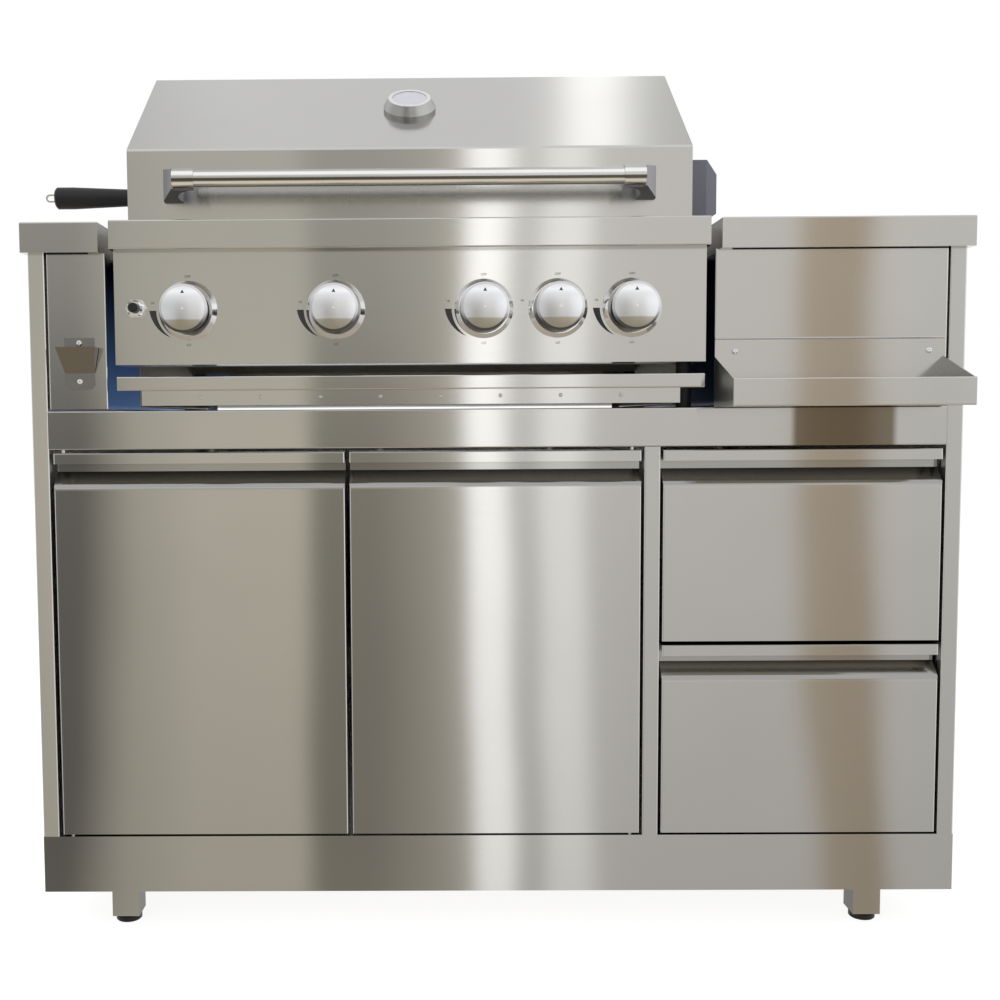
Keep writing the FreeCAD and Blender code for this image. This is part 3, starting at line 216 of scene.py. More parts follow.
def brushedSheet(name, look):
    material, t = newFinish(name)
    place = t.here()
    x, y, z = at = t.axes(place)
    nx, ny, nz = facing = t.facing()
    level = abs(nz) > look["levelFrom"]
    aside = abs(nx) > look["sideFrom"]
    upright = (1 - (abs(nz) > look["slopeFrom"])) * (1 - aside)
    across = look["linePitch"]
    along = look["lineLength"]
    stretched = t.node("ShaderNodeCombineXYZ", {}, {
        "X": x * along, "Y": y * (along + level * (across - along)), "Z": z * (across * (1 - level))})
    lines = t.noise(stretched, scale=1.0, detail=3.0, roughness=0.65)
    marks = t.noise(place, look["marks"], detail=4.0, roughness=0.6)
    wear = lines * look["lineTone"] + marks * look["markTone"]
    colour = t.blend(wear, (*look["tone"], 1), (*look["shade"], 1))
    # film faces take their painted glow as emission
    paintedGlow = noGlow
    if "film" in look:
        colour, paintedGlow = filmOver(t, look, at, colour)
    colour = shadeOver(t, look, at, facing, colour)
    wave = t.noise(place, look["wave"], detail=1.0, roughness=0.4)
    slow = t.bump(wave + x * look["lean"], look["waveDepth"])
    shared = {"Base Color": colour, "Metallic": 1.0, "Normal": t.bump(lines, look["lineDepth"], slow),
              "Emission Color": paintedGlow, "Emission Strength": 1.0}
    grain = (lines - 0.5) * look["grain"] + (marks - 0.5) * look["grain"]
    brushed = t.node("ShaderNodeBsdfPrincipled", {}, {
        **shared, "Roughness": grain + look["roughness"], "Anisotropic": look["spread"],
        "Anisotropic Rotation": look["spreadTurn"]})
    even = t.node("ShaderNodeBsdfPrincipled", {}, {
        **shared,
        "Roughness": grain * look["flatGrain"] + aside * look["sideRoughness"] + look["flatRoughness"]})
    closeFinish(t, t.node("ShaderNodeMixShader", {}, {0: upright, 1: even, 2: brushed}))
    return material


# satin metal: size of its patches, and how far they and the grain shift the roughness
satinLook = {"patches": 9.0, "shift": 0.06}
# polished forms, painted reflections: fine scuffs shift the tilt that picks the tone, and the roughness
formLook = {"scuffs": 45.0, "tiltShift": 0.012, "shift": 0.08, "rim": -0.925}
# moulded and painted surfaces: size of the worn patches, and how far they shift the roughness
mouldLook = {"wear": 14.0, "shift": 0.2, "gloss": 0.3}
heatLook = {"clouds": 6.0, "grain": 180.0, "roughness": 0.25, "cloudShift": 0.2, "grainShift": 0.1,
            "depth": 0.00002, "tints": [
                (0.25, (0.42, 0.41, 0.39)), (0.5, (0.47, 0.44, 0.38)),
                (0.62, (0.44, 0.38, 0.31)), (0.8, (0.34, 0.35, 0.38))]}
zincLook = {"cells": 70.0, "tone": (0.62, 0.64, 0.66), "shade": (0.74, 0.76, 0.77),
            "roughness": 0.3, "shift": 0.14}
# lens: its pale tone and alpha are a painted reflection of the ceiling
lensLook = {"mottle": 90.0, "tone": (0.45, 0.45, 0.49), "roughness": 0.3, "shift": 0.06,
            "alpha": 0.72, "alphaShift": 0.1, "gloss": 0.2}


def satinMetal(name, tone, shade, roughness, grainScale=60.0, depth=0.000003):
    # metal with an even satin surface: two close tones and a roughness that shifts with one noise
    material, t = newFinish(name)
    place = t.here()
    grain = t.noise(place, grainScale, detail=4.0, roughness=0.65)
    patches = t.noise(place, satinLook["patches"])
    shader = t.node("ShaderNodeBsdfPrincipled", {}, {
        "Base Color": t.blend(grain * 0.5 + patches * 0.5, (*tone, 1), (*shade, 1)), "Metallic": 1.0,
        "Roughness": (grain - 0.5) * satinLook["shift"] + (patches - 0.5) * satinLook["shift"] + roughness,
        "Normal": t.bump(grain, depth)})
    closeFinish(t, shader)
    return material


def formMetal(name, reflectionBands, roughness, rimReflectionBands=None):
    # polished form with painted reflections: bands of tone run with the tilt of the surface, painted as
    # the mirrored room looks on a bar or a dome; the rim bands are those of what turns away from the front
    material, t = newFinish(name)
    nx, ny, nz = t.facing()
    scuffs = t.noise(t.here(), formLook["scuffs"], detail=3.0, roughness=0.6)
    tilt = nz * 0.5 + (scuffs - 0.5) * formLook["tiltShift"] + 0.5
    tone = t.node("ShaderNodeValToRGB", {"stops": reflectionBands}, {"Fac": tilt})
    if rimReflectionBands:
        away = t.node("ShaderNodeValToRGB", {"stops": rimReflectionBands}, {"Fac": tilt})
        tone = t.blend(ny > formLook["rim"], tone, away)
    shader = t.node("ShaderNodeBsdfPrincipled", {}, {
        "Base Color": tone, "Metallic": 1.0,
        "Roughness": (scuffs - 0.5) * formLook["shift"] + roughness})
    closeFinish(t, shader)
    return material


def mouldedFinish(name, tone, shade, roughness, pebble, depth, metallic=0.0):
    # moulded or painted surface: a fine pebble in the bump and worn lighter patches
    material, t = newFinish(name)
    place = t.here()
    pebbles = t.noise(place, pebble, roughness=0.6)
    wear = t.noise(place, mouldLook["wear"], detail=3.0, roughness=0.6)
    shader = t.node("ShaderNodeBsdfPrincipled", {}, {
        "Base Color": t.blend(wear, (*tone, 1), (*shade, 1)), "Metallic": metallic,
        "Roughness": (wear - 0.5) * mouldLook["shift"] + roughness, "Normal": t.bump(pebbles, depth),
        "Specular IOR Level": mouldLook["gloss"]})
    closeFinish(t, shader)
    return material


def heatSteel(name, look):
    # steel that has been hot: straw and blue tints in soft clouds over a dull grey
    material, t = newFinish(name)
    place = t.here()
    clouds = t.noise(place, look["clouds"], detail=4.0, roughness=0.6)
    grain = t.noise(place, look["grain"])
    tone = t.node("ShaderNodeValToRGB", {"stops": look["tints"]}, {"Fac": clouds})
    shader = t.node("ShaderNodeBsdfPrincipled", {}, {
        "Base Color": tone, "Metallic": 1.0,
        "Roughness": clouds * look["cloudShift"] + grain * look["grainShift"] + look["roughness"],
        "Normal": t.bump(grain, look["depth"])})
    closeFinish(t, shader)
    return material


def zincPlate(name, look):
    # zinc plating: the spangle is a cell pattern that shifts tone and roughness from cell to cell
    material, t = newFinish(name)
    cells = t.node("ShaderNodeTexVoronoi", {}, {"Vector": t.here(), "Scale": look["cells"]}, out="Color")
    spangle, second, third = t.axes(cells)
    shader = t.node("ShaderNodeBsdfPrincipled", {}, {
        "Base Color": t.blend(spangle, (*look["tone"], 1), (*look["shade"], 1)),
        "Metallic": 1.0, "Roughness": second * look["shift"] + look["roughness"]})
    closeFinish(t, shader)
    return material


def milkyLens(name, look):
    # thin cover with a painted pale reflection of the ceiling: most of the dial is lost behind it and its
    # gloss
    material, t = newFinish(name)
    mottle = t.noise(t.here(), look["mottle"])
    shader = t.node("ShaderNodeBsdfPrincipled", {}, {
        "Base Color": (*look["tone"], 1), "Roughness": mottle * look["shift"] + look["roughness"],
        "Alpha": mottle * look["alphaShift"] + look["alpha"], "Specular IOR Level": look["gloss"]})
    closeFinish(t, shader)
    return material


# painted reflections, tones by tilt: from facing down (0) over facing the front (0.5) to facing up (1)
barReflectionBands = [
    (0.0, (0.30, 0.29, 0.27)), (0.09, (0.55, 0.53, 0.50)), (0.14, (1.0, 0.98, 0.94)),
    (0.23, (1.0, 0.98, 0.94)), (0.265, (0.5, 0.49, 0.47)), (0.295, (0.13, 0.125, 0.12)),
    (0.42, (0.14, 0.135, 0.13)), (0.45, (0.66, 0.65, 0.62)), (0.575, (0.66, 0.65, 0.62)),
    (0.62, (0.95, 0.94, 0.92)), (0.77, (0.92, 0.91, 0.89)), (0.82, (0.5, 0.5, 0.49)),
    (1.0, (0.42, 0.42, 0.41))]
bracketReflectionBands = [
    (0.0, (0.10, 0.095, 0.085)), (0.38, (0.10, 0.095, 0.085)), (0.45, (0.34, 0.345, 0.375)),
    (0.55, (0.36, 0.365, 0.395)), (0.7, (0.62, 0.62, 0.61)), (1.0, (0.66, 0.66, 0.64))]
knobReflectionBands = [
    (0.0, (0.44, 0.42, 0.36)), (0.315, (0.44, 0.42, 0.36)), (0.396, (0.54, 0.51, 0.44)),
    (0.404, (0.78, 0.79, 0.81)), (0.50, (0.78, 0.79, 0.81)), (0.60, (0.84, 0.85, 0.87)),
    (0.645, (1.0, 1.0, 1.0)), (0.68, (0.86, 0.86, 0.88)), (1.0, (0.7, 0.7, 0.72))]
knobRimReflectionBands = [
    (0.0, (0.10, 0.10, 0.105)), (0.37, (0.12, 0.12, 0.125)), (0.45, (0.55, 0.55, 0.56)),
    (0.60, (0.74, 0.74, 0.75)), (0.74, (0.66, 0.66, 0.68)), (1.0, (0.34, 0.34, 0.36))]
gaugeReflectionBands = [
    (0.0, (0.36, 0.36, 0.355)), (0.40, (0.38, 0.38, 0.375)), (0.50, (0.42, 0.42, 0.415)),
    (0.66, (0.50, 0.50, 0.49)), (0.80, (0.82, 0.82, 0.81)), (1.0, (0.85, 0.85, 0.84))]
openerReflectionBands = [
    (0.0, (0.20, 0.185, 0.16)), (0.47, (0.22, 0.20, 0.17)), (0.49, (0.27, 0.265, 0.25)),
    (0.56, (0.29, 0.285, 0.27)), (0.66, (0.92, 0.91, 0.88)), (1.0, (0.95, 0.94, 0.91))]
finishes = {
    "sheet": brushedSheet("brushedSheet", sheetLook),
    "lidSheet": brushedSheet("lidSheet", lidLook),
    "filmSheet": brushedSheet("filmSheet", filmLook),
    "railSheet": brushedSheet("railSheet", railLook),
    "postSheet": brushedSheet("postSheet", postLook),
    "pullSheet": brushedSheet("pullSheet", pullLook),
    "legSheet": brushedSheet("legSheet", legLook),
    "bar": formMetal("handleSteel", barReflectionBands, roughness=0.26),
    "bracket": formMetal("bracketSteel", bracketReflectionBands, roughness=0.4),
    "knob": formMetal("knobChrome", knobReflectionBands, roughness=0.36, rimReflectionBands=knobRimReflectionBands),
    "gauge": formMetal("gaugeSteel", gaugeReflectionBands, roughness=0.3),
    "opener": formMetal("openerSteel", openerReflectionBands, roughness=0.32),
    "satin": satinMetal("satinSteel", (0.66, 0.65, 0.63), (0.58, 0.57, 0.545), roughness=0.27),
    "chrome": satinMetal("polishedChrome", (0.86, 0.865, 0.875), (0.83, 0.835, 0.85), roughness=0.055,
                         grainScale=25.0, depth=0.0),
    # painted shade: the gas manifold, back behind the front, is made near black
    "dark": mouldedFinish("shadedManifoldSteel", (0.035, 0.035, 0.04), (0.055, 0.055, 0.06), roughness=0.5,
                          pebble=300.0, depth=0.00001, metallic=0.5),
    "heat": heatSteel("heatSteel", heatLook),
    "zinc": zincPlate("zincPlate", zincLook),
    "brass": satinMetal("valveBrass", (0.72, 0.53, 0.26), (0.6, 0.43, 0.2), roughness=0.3),
    "black": mouldedFinish("blackPlastic", (0.007, 0.007, 0.008), (0.016, 0.016, 0.017), roughness=0.42,
                           pebble=700.0, depth=0.00004),
    "motor": mouldedFinish("motorPaint", (0.12, 0.125, 0.152), (0.15, 0.155, 0.185), roughness=0.5,
                           pebble=420.0, depth=0.00008),
    "red": mouldedFinish("needlePaint", (0.45, 0.03, 0.02), (0.36, 0.025, 0.02), roughness=0.4,
                         pebble=500.0, depth=0.00001),
    "lens": milkyLens("clearLens", lensLook),
    "ink": mouldedFinish("panelInk", (0.02, 0.02, 0.022), (0.035, 0.035, 0.037), roughness=0.55,
                         pebble=900.0, depth=0.00001),
    "dial": mouldedFinish("dialEnamel", (0.62, 0.62, 0.66), (0.56, 0.56, 0.60), roughness=0.35,
                          pebble=300.0, depth=0.00001),
}
slotFinish = {
    "stainless": "sheet", "heat_steel": "heat", "zinc_steel": "zinc", "chrome": "chrome",
    "valve_brass": "brass", "black_plastic": "black", "motor_paint": "motor",
    "needle_paint": "red", "lens_glass": "lens",
}
nodeFinish = {
    "lid_shell": "lidSheet", "handle_bar": "bar", "handle_brackets": "bracket", "gauge_housing": "gauge",
    "leg_posts": "legSheet", "bottle_opener": "opener", "spit_rod": "satin", "gas_manifold": "dark",
    "hinge_pins": "satin", "front_rail": "railSheet", "left_side_panel": "postSheet",
}
knobNumbers = range(1, 6)
nodeFinish.update(("knob_%d" % i, "knob") for i in knobNumbers)
nodeFinish.update((name, "filmSheet") for name in (
    "right_side_panel", "left_front_panel", "right_front_panel", "control_panel"))
nodeFinish.update((name, "pullSheet") for name in (
    "left_door_skin", "right_door_skin", "upper_drawer_front", "lower_drawer_front"))
print("finishes:", len(finishes))


def dressNodes():
    # every node takes the finish of its slot in the record, or its own
    for name, node in nodes.items():
        slot = node.data.materials[0].name.split(".")[0]
        finish = finishes[nodeFinish.get(name, slotFinish[slot])]
        for i in range(len(node.data.materials)):
            node.data.materials[i] = finish
    print("nodes dressed:", len(nodes))


dressNodes()
bodies = frame["record"]["behaviour"]["bodies"]
bodyOf = {node: body for body, members in bodies.items() for node in members}


def newPiece(name, points, faces, finish, body, smooth=True):
    mesh = bpy.data.meshes.new(name)
    mesh.from_pydata(points.tolist(), [], faces)
    mesh.polygons.foreach_set("use_smooth", np.full(len(mesh.polygons), smooth))
    mesh.materials.append(finishes[finish])
    mesh.validate()
    mesh.update()
    piece = bpy.data.objects.new(name, mesh)
    scene.collection.objects.link(piece)
    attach(piece, body)


def gridFaces(rows, columns, wrap=False):
    # quads of a rows by columns grid of points, row by row; wrap joins the last column to the first
    i = np.arange(rows - 1)[:, None]
    j = np.arange(columns if wrap else columns - 1)[None, :]
    k = (j + 1) % columns
    quads = np.stack([i * columns + j, i * columns + k, (i + 1) * columns + k, (i + 1) * columns + j], -1)
    return quads.reshape(-1, 4).tolist()


def centre(name):
    low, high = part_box(name)
    return (np.array(low) + np.array(high)) / 2


def axesFor(normal, up):
    # right, up and out as rows, with up made square to the normal
    out = np.array(normal, float) / np.linalg.norm(normal)
    right = np.cross(np.array(up, float), out)
    right /= np.linalg.norm(right)
    return np.stack([right, np.cross(out, right), out])


toFront = axesFor((0, -1, 0), (0, 0, 1))

# pan head screws with a cross recess, and the tray's small rivets
screwLook = {"radius": 0.0042, "height": 0.0026, "rimDrop": 0.85, "hub": 0.04, "slotWidth": 0.0007,
             "slotReach": 0.0026, "slotDepth": 0.0012, "rings": 14, "steps": 48}
rivetLook = dict(screwLook, radius=0.0026, height=0.0015, slotWidth=0.0004, slotReach=0.0016,
                 slotDepth=0.0006)
# distances from the edges of the piece that they hold, and of their seat from its back or front
rackScrewPlaces = {"down": 0.0185, "left": 0.0265, "right": 0.020, "seat": 0.0012}
openerScrewPlaces = {"down": 0.007, "up": 0.011, "seat": 0.002}
trayRivetPlaces = {"ends": 0.11, "count": 8, "up": 0.011, "seat": 0.007}


def screwHead(at, look, axes):
    # polar grid: over the seat stands a flattened dome, height * (1 - rimDrop * r^4), less the recess
    r = np.linspace(1, look["hub"], look["rings"])[:, None]
    a = np.linspace(0, 2 * math.pi, look["steps"], endpoint=False)[None, :]
    u = look["radius"] * r * np.cos(a)
    v = look["radius"] * r * np.sin(a)
    height = look["height"] * (1 - look["rimDrop"] * r ** 4)
    inCross = np.minimum(abs(u), abs(v)) < look["slotWidth"]
    height = np.where(inCross & (np.maximum(abs(u), abs(v)) < look["slotReach"]),
                      height - look["slotDepth"], height)
    cap = np.stack([u, v, height + 0 * u], -1)
    rim = np.stack([u[0], v[0], 0 * u[0]], -1)[None]
    grid = np.concatenate([rim, cap]).reshape(-1, 3)
    tip = np.array([[0, 0, look["height"] - look["slotDepth"]]])
    points = np.concatenate([grid, tip]) @ axes + at
    steps = look["steps"]
    last = look["rings"] * steps
    faces = gridFaces(look["rings"] + 1, steps, wrap=True)
    faces += [[last + j, last + (j + 1) % steps, len(points) - 1] for j in range(steps)]
    return points, faces


def screws(name, places, body, look=screwLook, finish="chrome"):
    points, faces = [], []
    for at in places:
        p, f = screwHead(np.array(at), look, toFront)
        start = sum(len(q) for q in points)
        faces += [[start + k for k in face] for face in f]
        points.append(p)
    newPiece(name, np.concatenate(points), faces, finish, body)


def allScrews():
    low, high = map(np.array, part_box("tool_rack"))
    inset = rackScrewPlaces
    z = high[2] - inset["down"]
    seat = high[1] - inset["seat"]
    left, right = low[0] + inset["left"], high[0] - inset["right"]
    screws("rackScrews", [(left, seat, z), (right, seat, z)], "cabinet")
    low, high = map(np.array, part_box("bottle_opener"))
    inset = openerScrewPlaces
    x = (low[0] + high[0]) / 2
    seat = high[1] - inset["seat"]
    top, foot = high[2] - inset["down"], low[2] + inset["up"]
    screws("openerScrews", [(x, seat, top), (x, seat, foot)], "cabinet")
    low, high = map(np.array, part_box("drip_tray"))
    inset = trayRivetPlaces
    span = np.linspace(low[0] + inset["ends"], high[0] - inset["ends"], inset["count"])
    seat, z = low[1] + inset["seat"], low[2] + inset["up"]
    screws("trayRivets", [(x, seat, z) for x in span], "grease_drawer", rivetLook, "satin")
    print("screws done")


allScrews()

# black print on the control panel: a wedge shaped sweep beside four knobs, and short plain words
printLook = {"inner": 0.0425, "outer": 0.0517, "from": 180.0, "to": 236.0, "taper": 0.9, "rows": 40,
             "columns": 5, "lift": 0.00015, "sweptKnobs": (1, 2, 3, 5), "wordHeight": 0.0046,
             "words": (("OFF", 0, 0.0445), ("HI", -0.047, 0.010), ("LO", 0, -0.0455))}


def panelSweep(number, look):
    # annular strip: the inner edge is a circle, and the outer edge closes on it towards the end
    c = centre("knob_%d" % number)
    s = np.linspace(0, 1, look["rows"])[:, None]
    t = np.linspace(0, 1, look["columns"])[None, :]
    angle = np.radians(look["from"] + (look["to"] - look["from"]) * s)
    reach = look["inner"] + (look["outer"] - look["inner"]) * (1 - s) ** look["taper"] * t
    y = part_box("control_panel")[0][1] - look["lift"]
    points = np.stack([c[0] + reach * np.cos(angle), y + 0 * reach, c[2] + reach * np.sin(angle)], -1)
    faces = gridFaces(look["rows"], look["columns"])
    newPiece("panelSweep%d" % number, points.reshape(-1, 3), faces, "ink", "cabinet")


def wordMesh(name, text, height, at, axes, finish, body):
    # letters are laid flat, made a mesh, then turned by the three axes and moved to their place
    curve = bpy.data.curves.new(name, "FONT")
    curve.body = text
    curve.size = height
    curve.align_x = "CENTER"
    curve.align_y = "CENTER"
    holder = bpy.data.objects.new(name, curve)
    mesh = bpy.data.meshes.new_from_object(holder)
    flat = np.empty(len(mesh.vertices) * 3)
    mesh.vertices.foreach_get("co", flat)
    points = flat.reshape(-1, 3) @ axes + np.array(at)
    faces = [list(p.vertices) for p in mesh.polygons]
    bpy.data.objects.remove(holder)
    bpy.data.curves.remove(curve)
    bpy.data.meshes.remove(mesh)
    newPiece(name, points, faces, finish, body, smooth=False)


def panelPrint(look):
    for number in look["sweptKnobs"]:
        panelSweep(number, look)
    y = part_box("control_panel")[0][1] - look["lift"]
    for number in knobNumbers:
        c = centre("knob_%d" % number)
        for text, right, up in look["words"]:
            wordMesh("panel%s%d" % (text.title(), number), text, look["wordHeight"],
                     (c[0] + right, y, c[2] + up), toFront, "ink", "cabinet")
    print("panel print done")


panelPrint(printLook)

# small black triangle near the top of every knob's dome
pointerLook = {"middle": 0.0215, "height": 0.0046, "width": 0.005, "lift": 0.00012, "domeRise": 0.007,
               "rows": 8, "columns": 7}


def knobPointer(number, look):
    # triangle grid: rows run from the tip to the base, and each point is pressed onto the dome's sphere
    low, high = map(np.array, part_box("knob_%d" % number))
    c = (low + high) / 2
    radius = (high[0] - low[0]) / 2
    rise = look["domeRise"]
    sphere = (radius ** 2 + rise ** 2) / (2 * rise)
    s = np.linspace(0, 1, look["rows"])[:, None]
    t = np.linspace(-0.5, 0.5, look["columns"])[None, :]
    up = look["middle"] + look["height"] * (0.5 - s) + 0 * t
    right = look["width"] * s * t
    drop = sphere - np.sqrt(sphere ** 2 - up ** 2 - right ** 2)
    points = np.stack([c[0] + right, low[1] + drop - look["lift"], c[2] + up], -1)
    faces = gridFaces(look["rows"], look["columns"])
    newPiece("knobPointer%d" % number, points.reshape(-1, 3), faces, "ink",
             bodyOf["knob_%d" % number])


for knobNumber in knobNumbers:
    knobPointer(knobNumber, pointerLook)
print("knob pointers done")

# thermometer's dial: enamel disc, ticks and plain numbers round 240 degrees, on the lid's slope, which
# rises 146 in 195
dialLook = {"slope": math.atan2(146, 195), "belowLens": 0.00265, "radius": 0.0242, "rimDepth": 0.0001,
            "rings": (1, 1, 0.75, 0.5, 0.25, 0.02), "steps": 64, "tickOuter": 0.0222, "tickInner": 0.0195,
            "longTick": 0.00045, "shortTick": 0.0002, "ticksPerNumber": 4, "lift": 0.0001,
            "numberRadius": 0.0148, "numberHeight": 0.0042, "numbers": (100, 200, 300, 400, 500),
            "from": 210.0, "sweep": 240.0}


def dial(look):
    out = np.array([0, -math.sin(look["slope"]), math.cos(look["slope"])])
    axes = axesFor(out, (0, math.cos(look["slope"]), math.sin(look["slope"])))
    c = centre("gauge_lens") - out * look["belowLens"]
    # disc: polar grid from rim to middle, a hair's breadth thick at the rim
    rings, steps = len(look["rings"]), look["steps"]
    r = np.array(look["rings"])[:, None] * look["radius"]
    a = np.linspace(0, 2 * math.pi, steps, endpoint=False)[None, :]
    lift = np.array([-look["rimDepth"]] + [0] * (rings - 1))[:, None]
    points = np.stack([r * np.cos(a), r * np.sin(a), lift + 0 * a], -1).reshape(-1, 3) @ axes + c
    faces = gridFaces(rings, steps, wrap=True) + [list(range((rings - 1) * steps, rings * steps))]
    newPiece("dialFace", points, faces, "dial", "lid")
    # ticks: one thin quad each, longer at every number
    spaces = len(look["numbers"]) - 1
    count = look["ticksPerNumber"] * spaces + 1
    angle = np.radians(look["from"] - look["sweep"] * np.arange(count) / (count - 1))
    atNumber = np.arange(count) % look["ticksPerNumber"] == 0
    inner = np.where(atNumber, look["tickInner"], (look["tickInner"] + look["tickOuter"]) / 2)
    half = np.where(atNumber, look["longTick"], look["shortTick"])
    outward = np.stack([np.cos(angle), np.sin(angle)], -1)
    side = np.stack([-np.sin(angle), np.cos(angle)], -1) * half[:, None]
    corners = np.stack([outward * inner[:, None] - side, outward * look["tickOuter"] - side,
                        outward * look["tickOuter"] + side, outward * inner[:, None] + side], 1)
    flat = np.concatenate([corners, np.full((count, 4, 1), look["lift"])], -1).reshape(-1, 3)
    quads = np.arange(count * 4).reshape(-1, 4).tolist()
    newPiece("dialTicks", flat @ axes + c, quads, "ink", "lid", smooth=False)
    for i, number in enumerate(look["numbers"]):
        turn = math.radians(look["from"] - look["sweep"] * i / spaces)
        at = np.array([math.cos(turn), math.sin(turn), 0]) * look["numberRadius"] + (0, 0, look["lift"])
        wordMesh("dialNumber%d" % number, str(number), look["numberHeight"], at @ axes + c, axes, "ink",
                 "lid")
    print("dial done")


dial(dialLook)

# stage: pale floor that keeps a soft shadow
stageLook = {"half": 9, "floor": 0.86, "shadow": 0.3, "white": 1.25}
# studio for the metal to mirror, by the direction looked in: pairs are where a change begins and ends on z
worldLook = {"gainSlope": 0.6, "gainLevel": 0.9, "gainMin": 0.55, "gainMax": 0.97,
             "calm": 0.65, "calmRise": (-0.02, 0.12), "calmRight": 0.01, "calmTone": (0.55, 0.54, 0.50),
             "ceilingRise": (0.3, 0.6), "overRise": (0.3, 0.42), "overTone": (0.95, 0.95, 0.96),
             "behind": 0.25, "underFall": (0.4, 0.52), "underTone": (0.60, 0.54, 0.44)}
# tones of the studio's walls from left to right, and of its ceiling, by the sideways part of the direction
wallTones = [
    (0.00, (0.95, 0.95, 0.95)), (0.08, (0.86, 0.86, 0.85)), (0.12, (0.26, 0.25, 0.235)),
    (0.226, (0.18, 0.17, 0.155)), (0.262, (0.60, 0.57, 0.49)), (0.31, (0.74, 0.70, 0.60)),
    (0.40, (0.76, 0.72, 0.61)), (0.413, (0.32, 0.305, 0.25)), (0.46, (0.34, 0.315, 0.27)),
    (0.505, (0.52, 0.49, 0.42)), (0.53, (0.70, 0.67, 0.61)), (0.541, (1.78, 1.77, 1.75)),
    (0.564, (1.78, 1.77, 1.75)), (0.573, (0.92, 0.91, 0.89)), (0.588, (0.84, 0.83, 0.81)),
    (0.600, (1.32, 1.31, 1.29)), (0.626, (1.32, 1.31, 1.29)), (0.640, (0.88, 0.86, 0.83)),
    (0.68, (0.84, 0.82, 0.79)), (0.792, (0.82, 0.80, 0.77)), (0.805, (0.61, 0.52, 0.41)),
    (0.842, (0.55, 0.46, 0.36)), (0.853, (0.84, 0.82, 0.78)), (0.90, (0.80, 0.79, 0.77)),
    (0.94, (0.88, 0.87, 0.84)), (1.00, (1.30, 1.30, 1.30))]
ceilingTones = [
    (0.00, (0.62, 0.62, 0.62)), (0.24, (0.68, 0.68, 0.69)), (0.34, (0.86, 0.86, 0.87)),
    (0.601, (0.82, 0.82, 0.83)), (0.620, (1.66, 1.66, 1.66)), (0.650, (1.66, 1.66, 1.66)),
    (0.668, (0.85, 0.85, 0.85)), (0.69, (0.70, 0.70, 0.70)), (1.00, (0.64, 0.64, 0.64))]


def stageFloor(look):
    mesh = bpy.data.meshes.new("floor")
    half = look["half"]
    corners = [(-half, -half, 0), (half, -half, 0), (half, half, 0), (-half, half, 0)]
    mesh.from_pydata(corners, [], [(0, 1, 2, 3)])
    floor = bpy.data.objects.new("floor", mesh)
    scene.collection.objects.link(floor)
    material, t = newFinish("paleFloor")
    dull = t.node("ShaderNodeBsdfDiffuse", {}, {"Color": (look["floor"],) * 3 + (1,)})
    white = t.node("ShaderNodeEmission", {}, {"Color": (1, 1, 1, 1), "Strength": look["white"]})
    seen = t.node("ShaderNodeLightPath", out="Is Camera Ray")
    closeFinish(t, t.node("ShaderNodeMixShader", {}, {0: seen * (1 - look["shadow"]), 1: dull, 2: white}))
    mesh.materials.append(material)
    floor.visible_glossy = False


def studioWorld(look):
    world = bpy.data.worlds.new("studio")
    scene.world = world
    t = Tree(world)
    way = t.node("ShaderNodeTexCoord", out="Generated")
    x, y, z = t.axes(way)
    gain = t.node("ShaderNodeClamp", {}, {
        "Value": z * look["gainSlope"] + look["gainLevel"], "Min": look["gainMin"], "Max": look["gainMax"]})
    # the left walls even out higher up
    calm = t.between(z, *look["calmRise"], smooth=True, top=look["calm"]) * (1 - (x > look["calmRight"]))
    tones = t.node("ShaderNodeValToRGB", {"stops": wallTones}, {"Fac": x + 0.5})
    walls = t.node("ShaderNodeVectorMath", {"operation": "SCALE"}, {
        0: t.blend(calm, tones, (*look["calmTone"], 1)), "Scale": gain})
    ceiling = t.node("ShaderNodeValToRGB", {"stops": ceilingTones}, {"Fac": x + 0.5})
    # white walls behind the object, pale above in front of it, brown floor under it
    behind = y > look["behind"]
    high = t.between(z, *look["ceilingRise"], smooth=True)
    over = t.between(z, *look["overRise"], smooth=True) * (1 - behind)
    under = t.between(z * -1, *look["underFall"], smooth=True)
    tones = t.blend(over, t.blend(high, walls, ceiling), (*look["overTone"], 1))
    tones = t.blend(behind * (1 - high), tones, (1, 1, 1, 1))
    tones = t.blend(under, tones, (*look["underTone"], 1))
    light = t.node("ShaderNodeBackground", {}, {"Color": tones, "Strength": 1.0})
    white = t.node("ShaderNodeBackground", {}, {"Color": (1, 1, 1, 1), "Strength": 1.0})
    seen = t.node("ShaderNodeLightPath", out="Is Camera Ray")
    through = t.node("ShaderNodeLightPath", out="Is Transmission Ray")
    mixed = t.node("ShaderNodeMixShader", {}, {0: seen + through, 1: light, 2: white})
    t.node("ShaderNodeOutputWorld", {}, {"Surface": mixed})


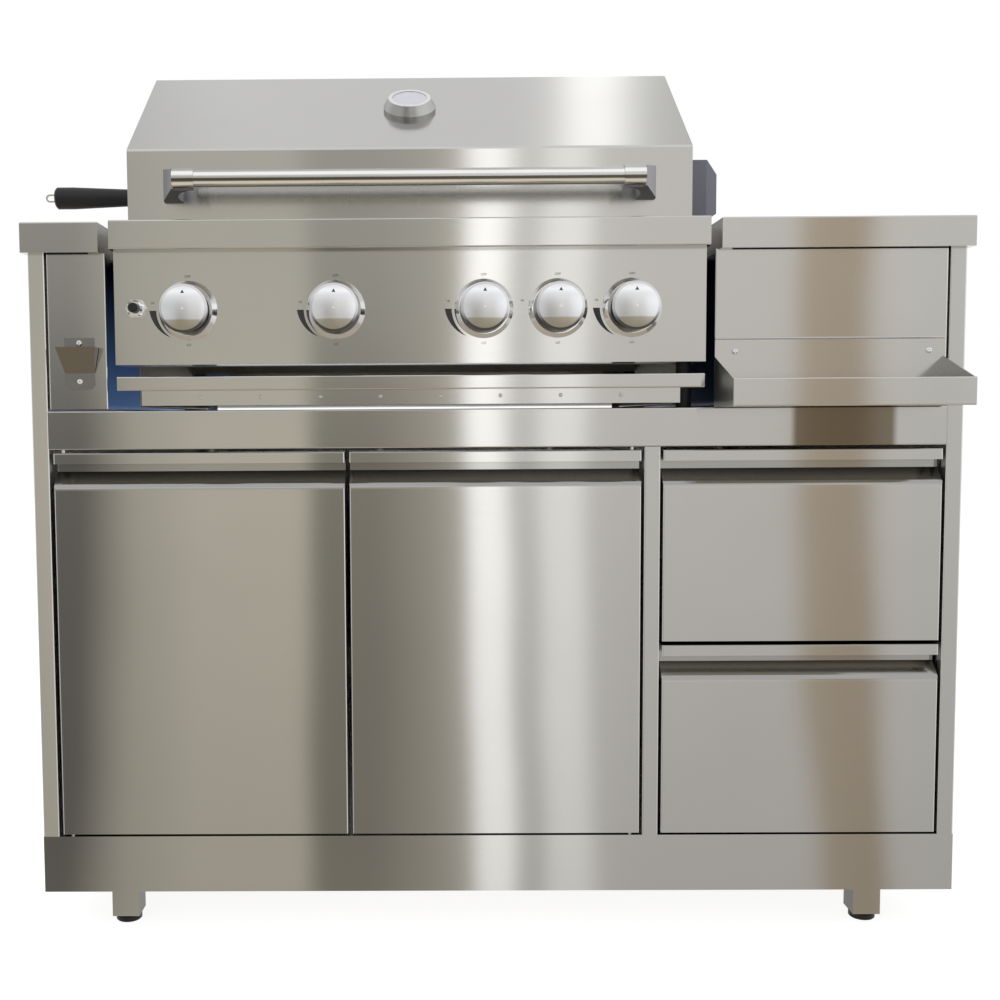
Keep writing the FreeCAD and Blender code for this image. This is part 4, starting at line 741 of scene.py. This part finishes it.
# lamps: where they stand, what they are turned to, their sides in metres and their watts
topLamp = {"at": (-0.3, -0.6, 3.2), "target": (0, 0, 0.6), "size": (2.6, 2.0), "power": 45}
frontLamp = {"at": (-1.6, -3.2, 2.0), "target": (0, 0, 0.6), "size": (1.6, 1.6), "power": 30}


def softLamp(name, look):
    # lights the dull surfaces only; the metal mirrors the studio's walls
    lamp = bpy.data.lights.new(name, "AREA")
    lamp.shape = "RECTANGLE"
    lamp.size, lamp.size_y = look["size"]
    lamp.energy = look["power"]
    holder = bpy.data.objects.new(name, lamp)
    aim = (Vector(look["target"]) - Vector(look["at"])).to_track_quat("-Z", "Y")
    holder.matrix_world = Matrix.Translation(look["at"]) @ aim.to_matrix().to_4x4()
    holder.visible_camera = False
    holder.visible_glossy = False
    scene.collection.objects.link(holder)


stageFloor(stageLook)
studioWorld(worldLook)
softLamp("topLamp", topLamp)
softLamp("frontLamp", frontLamp)
print("stage done")

# camera: a little above the knobs, looking slightly down, framed to the right of its axis
cameraLook = {"at": (-0.07219, -1.86, 0.71415), "pitch": 3.974, "yaw": 0.485, "roll": -0.358,
              "lens": 42.787, "sensor": 36.0, "shiftX": 0.085}


def photoCamera(look):
    pitch, yaw, roll = (math.radians(look[k]) for k in ("pitch", "yaw", "roll"))
    level = np.array([-math.sin(yaw), math.cos(yaw), 0])
    right = np.array([math.cos(yaw), math.sin(yaw), 0])
    ahead = math.cos(pitch) * level - math.sin(pitch) * np.array([0, 0, 1])
    up = math.sin(pitch) * level + math.cos(pitch) * np.array([0, 0, 1])
    turnedRight = math.cos(roll) * right + math.sin(roll) * up
    turnedUp = math.cos(roll) * up - math.sin(roll) * right
    turn = Matrix(np.stack([turnedRight, turnedUp, -ahead], 1).tolist())
    data = bpy.data.cameras.new("photoCamera")
    data.lens = look["lens"]
    data.sensor_width = look["sensor"]
    data.shift_x = look["shiftX"]
    holder = bpy.data.objects.new("photoCamera", data)
    holder.matrix_world = Matrix.Translation(look["at"]) @ turn.to_4x4()
    scene.collection.objects.link(holder)
    scene.camera = holder


photoCamera(cameraLook)
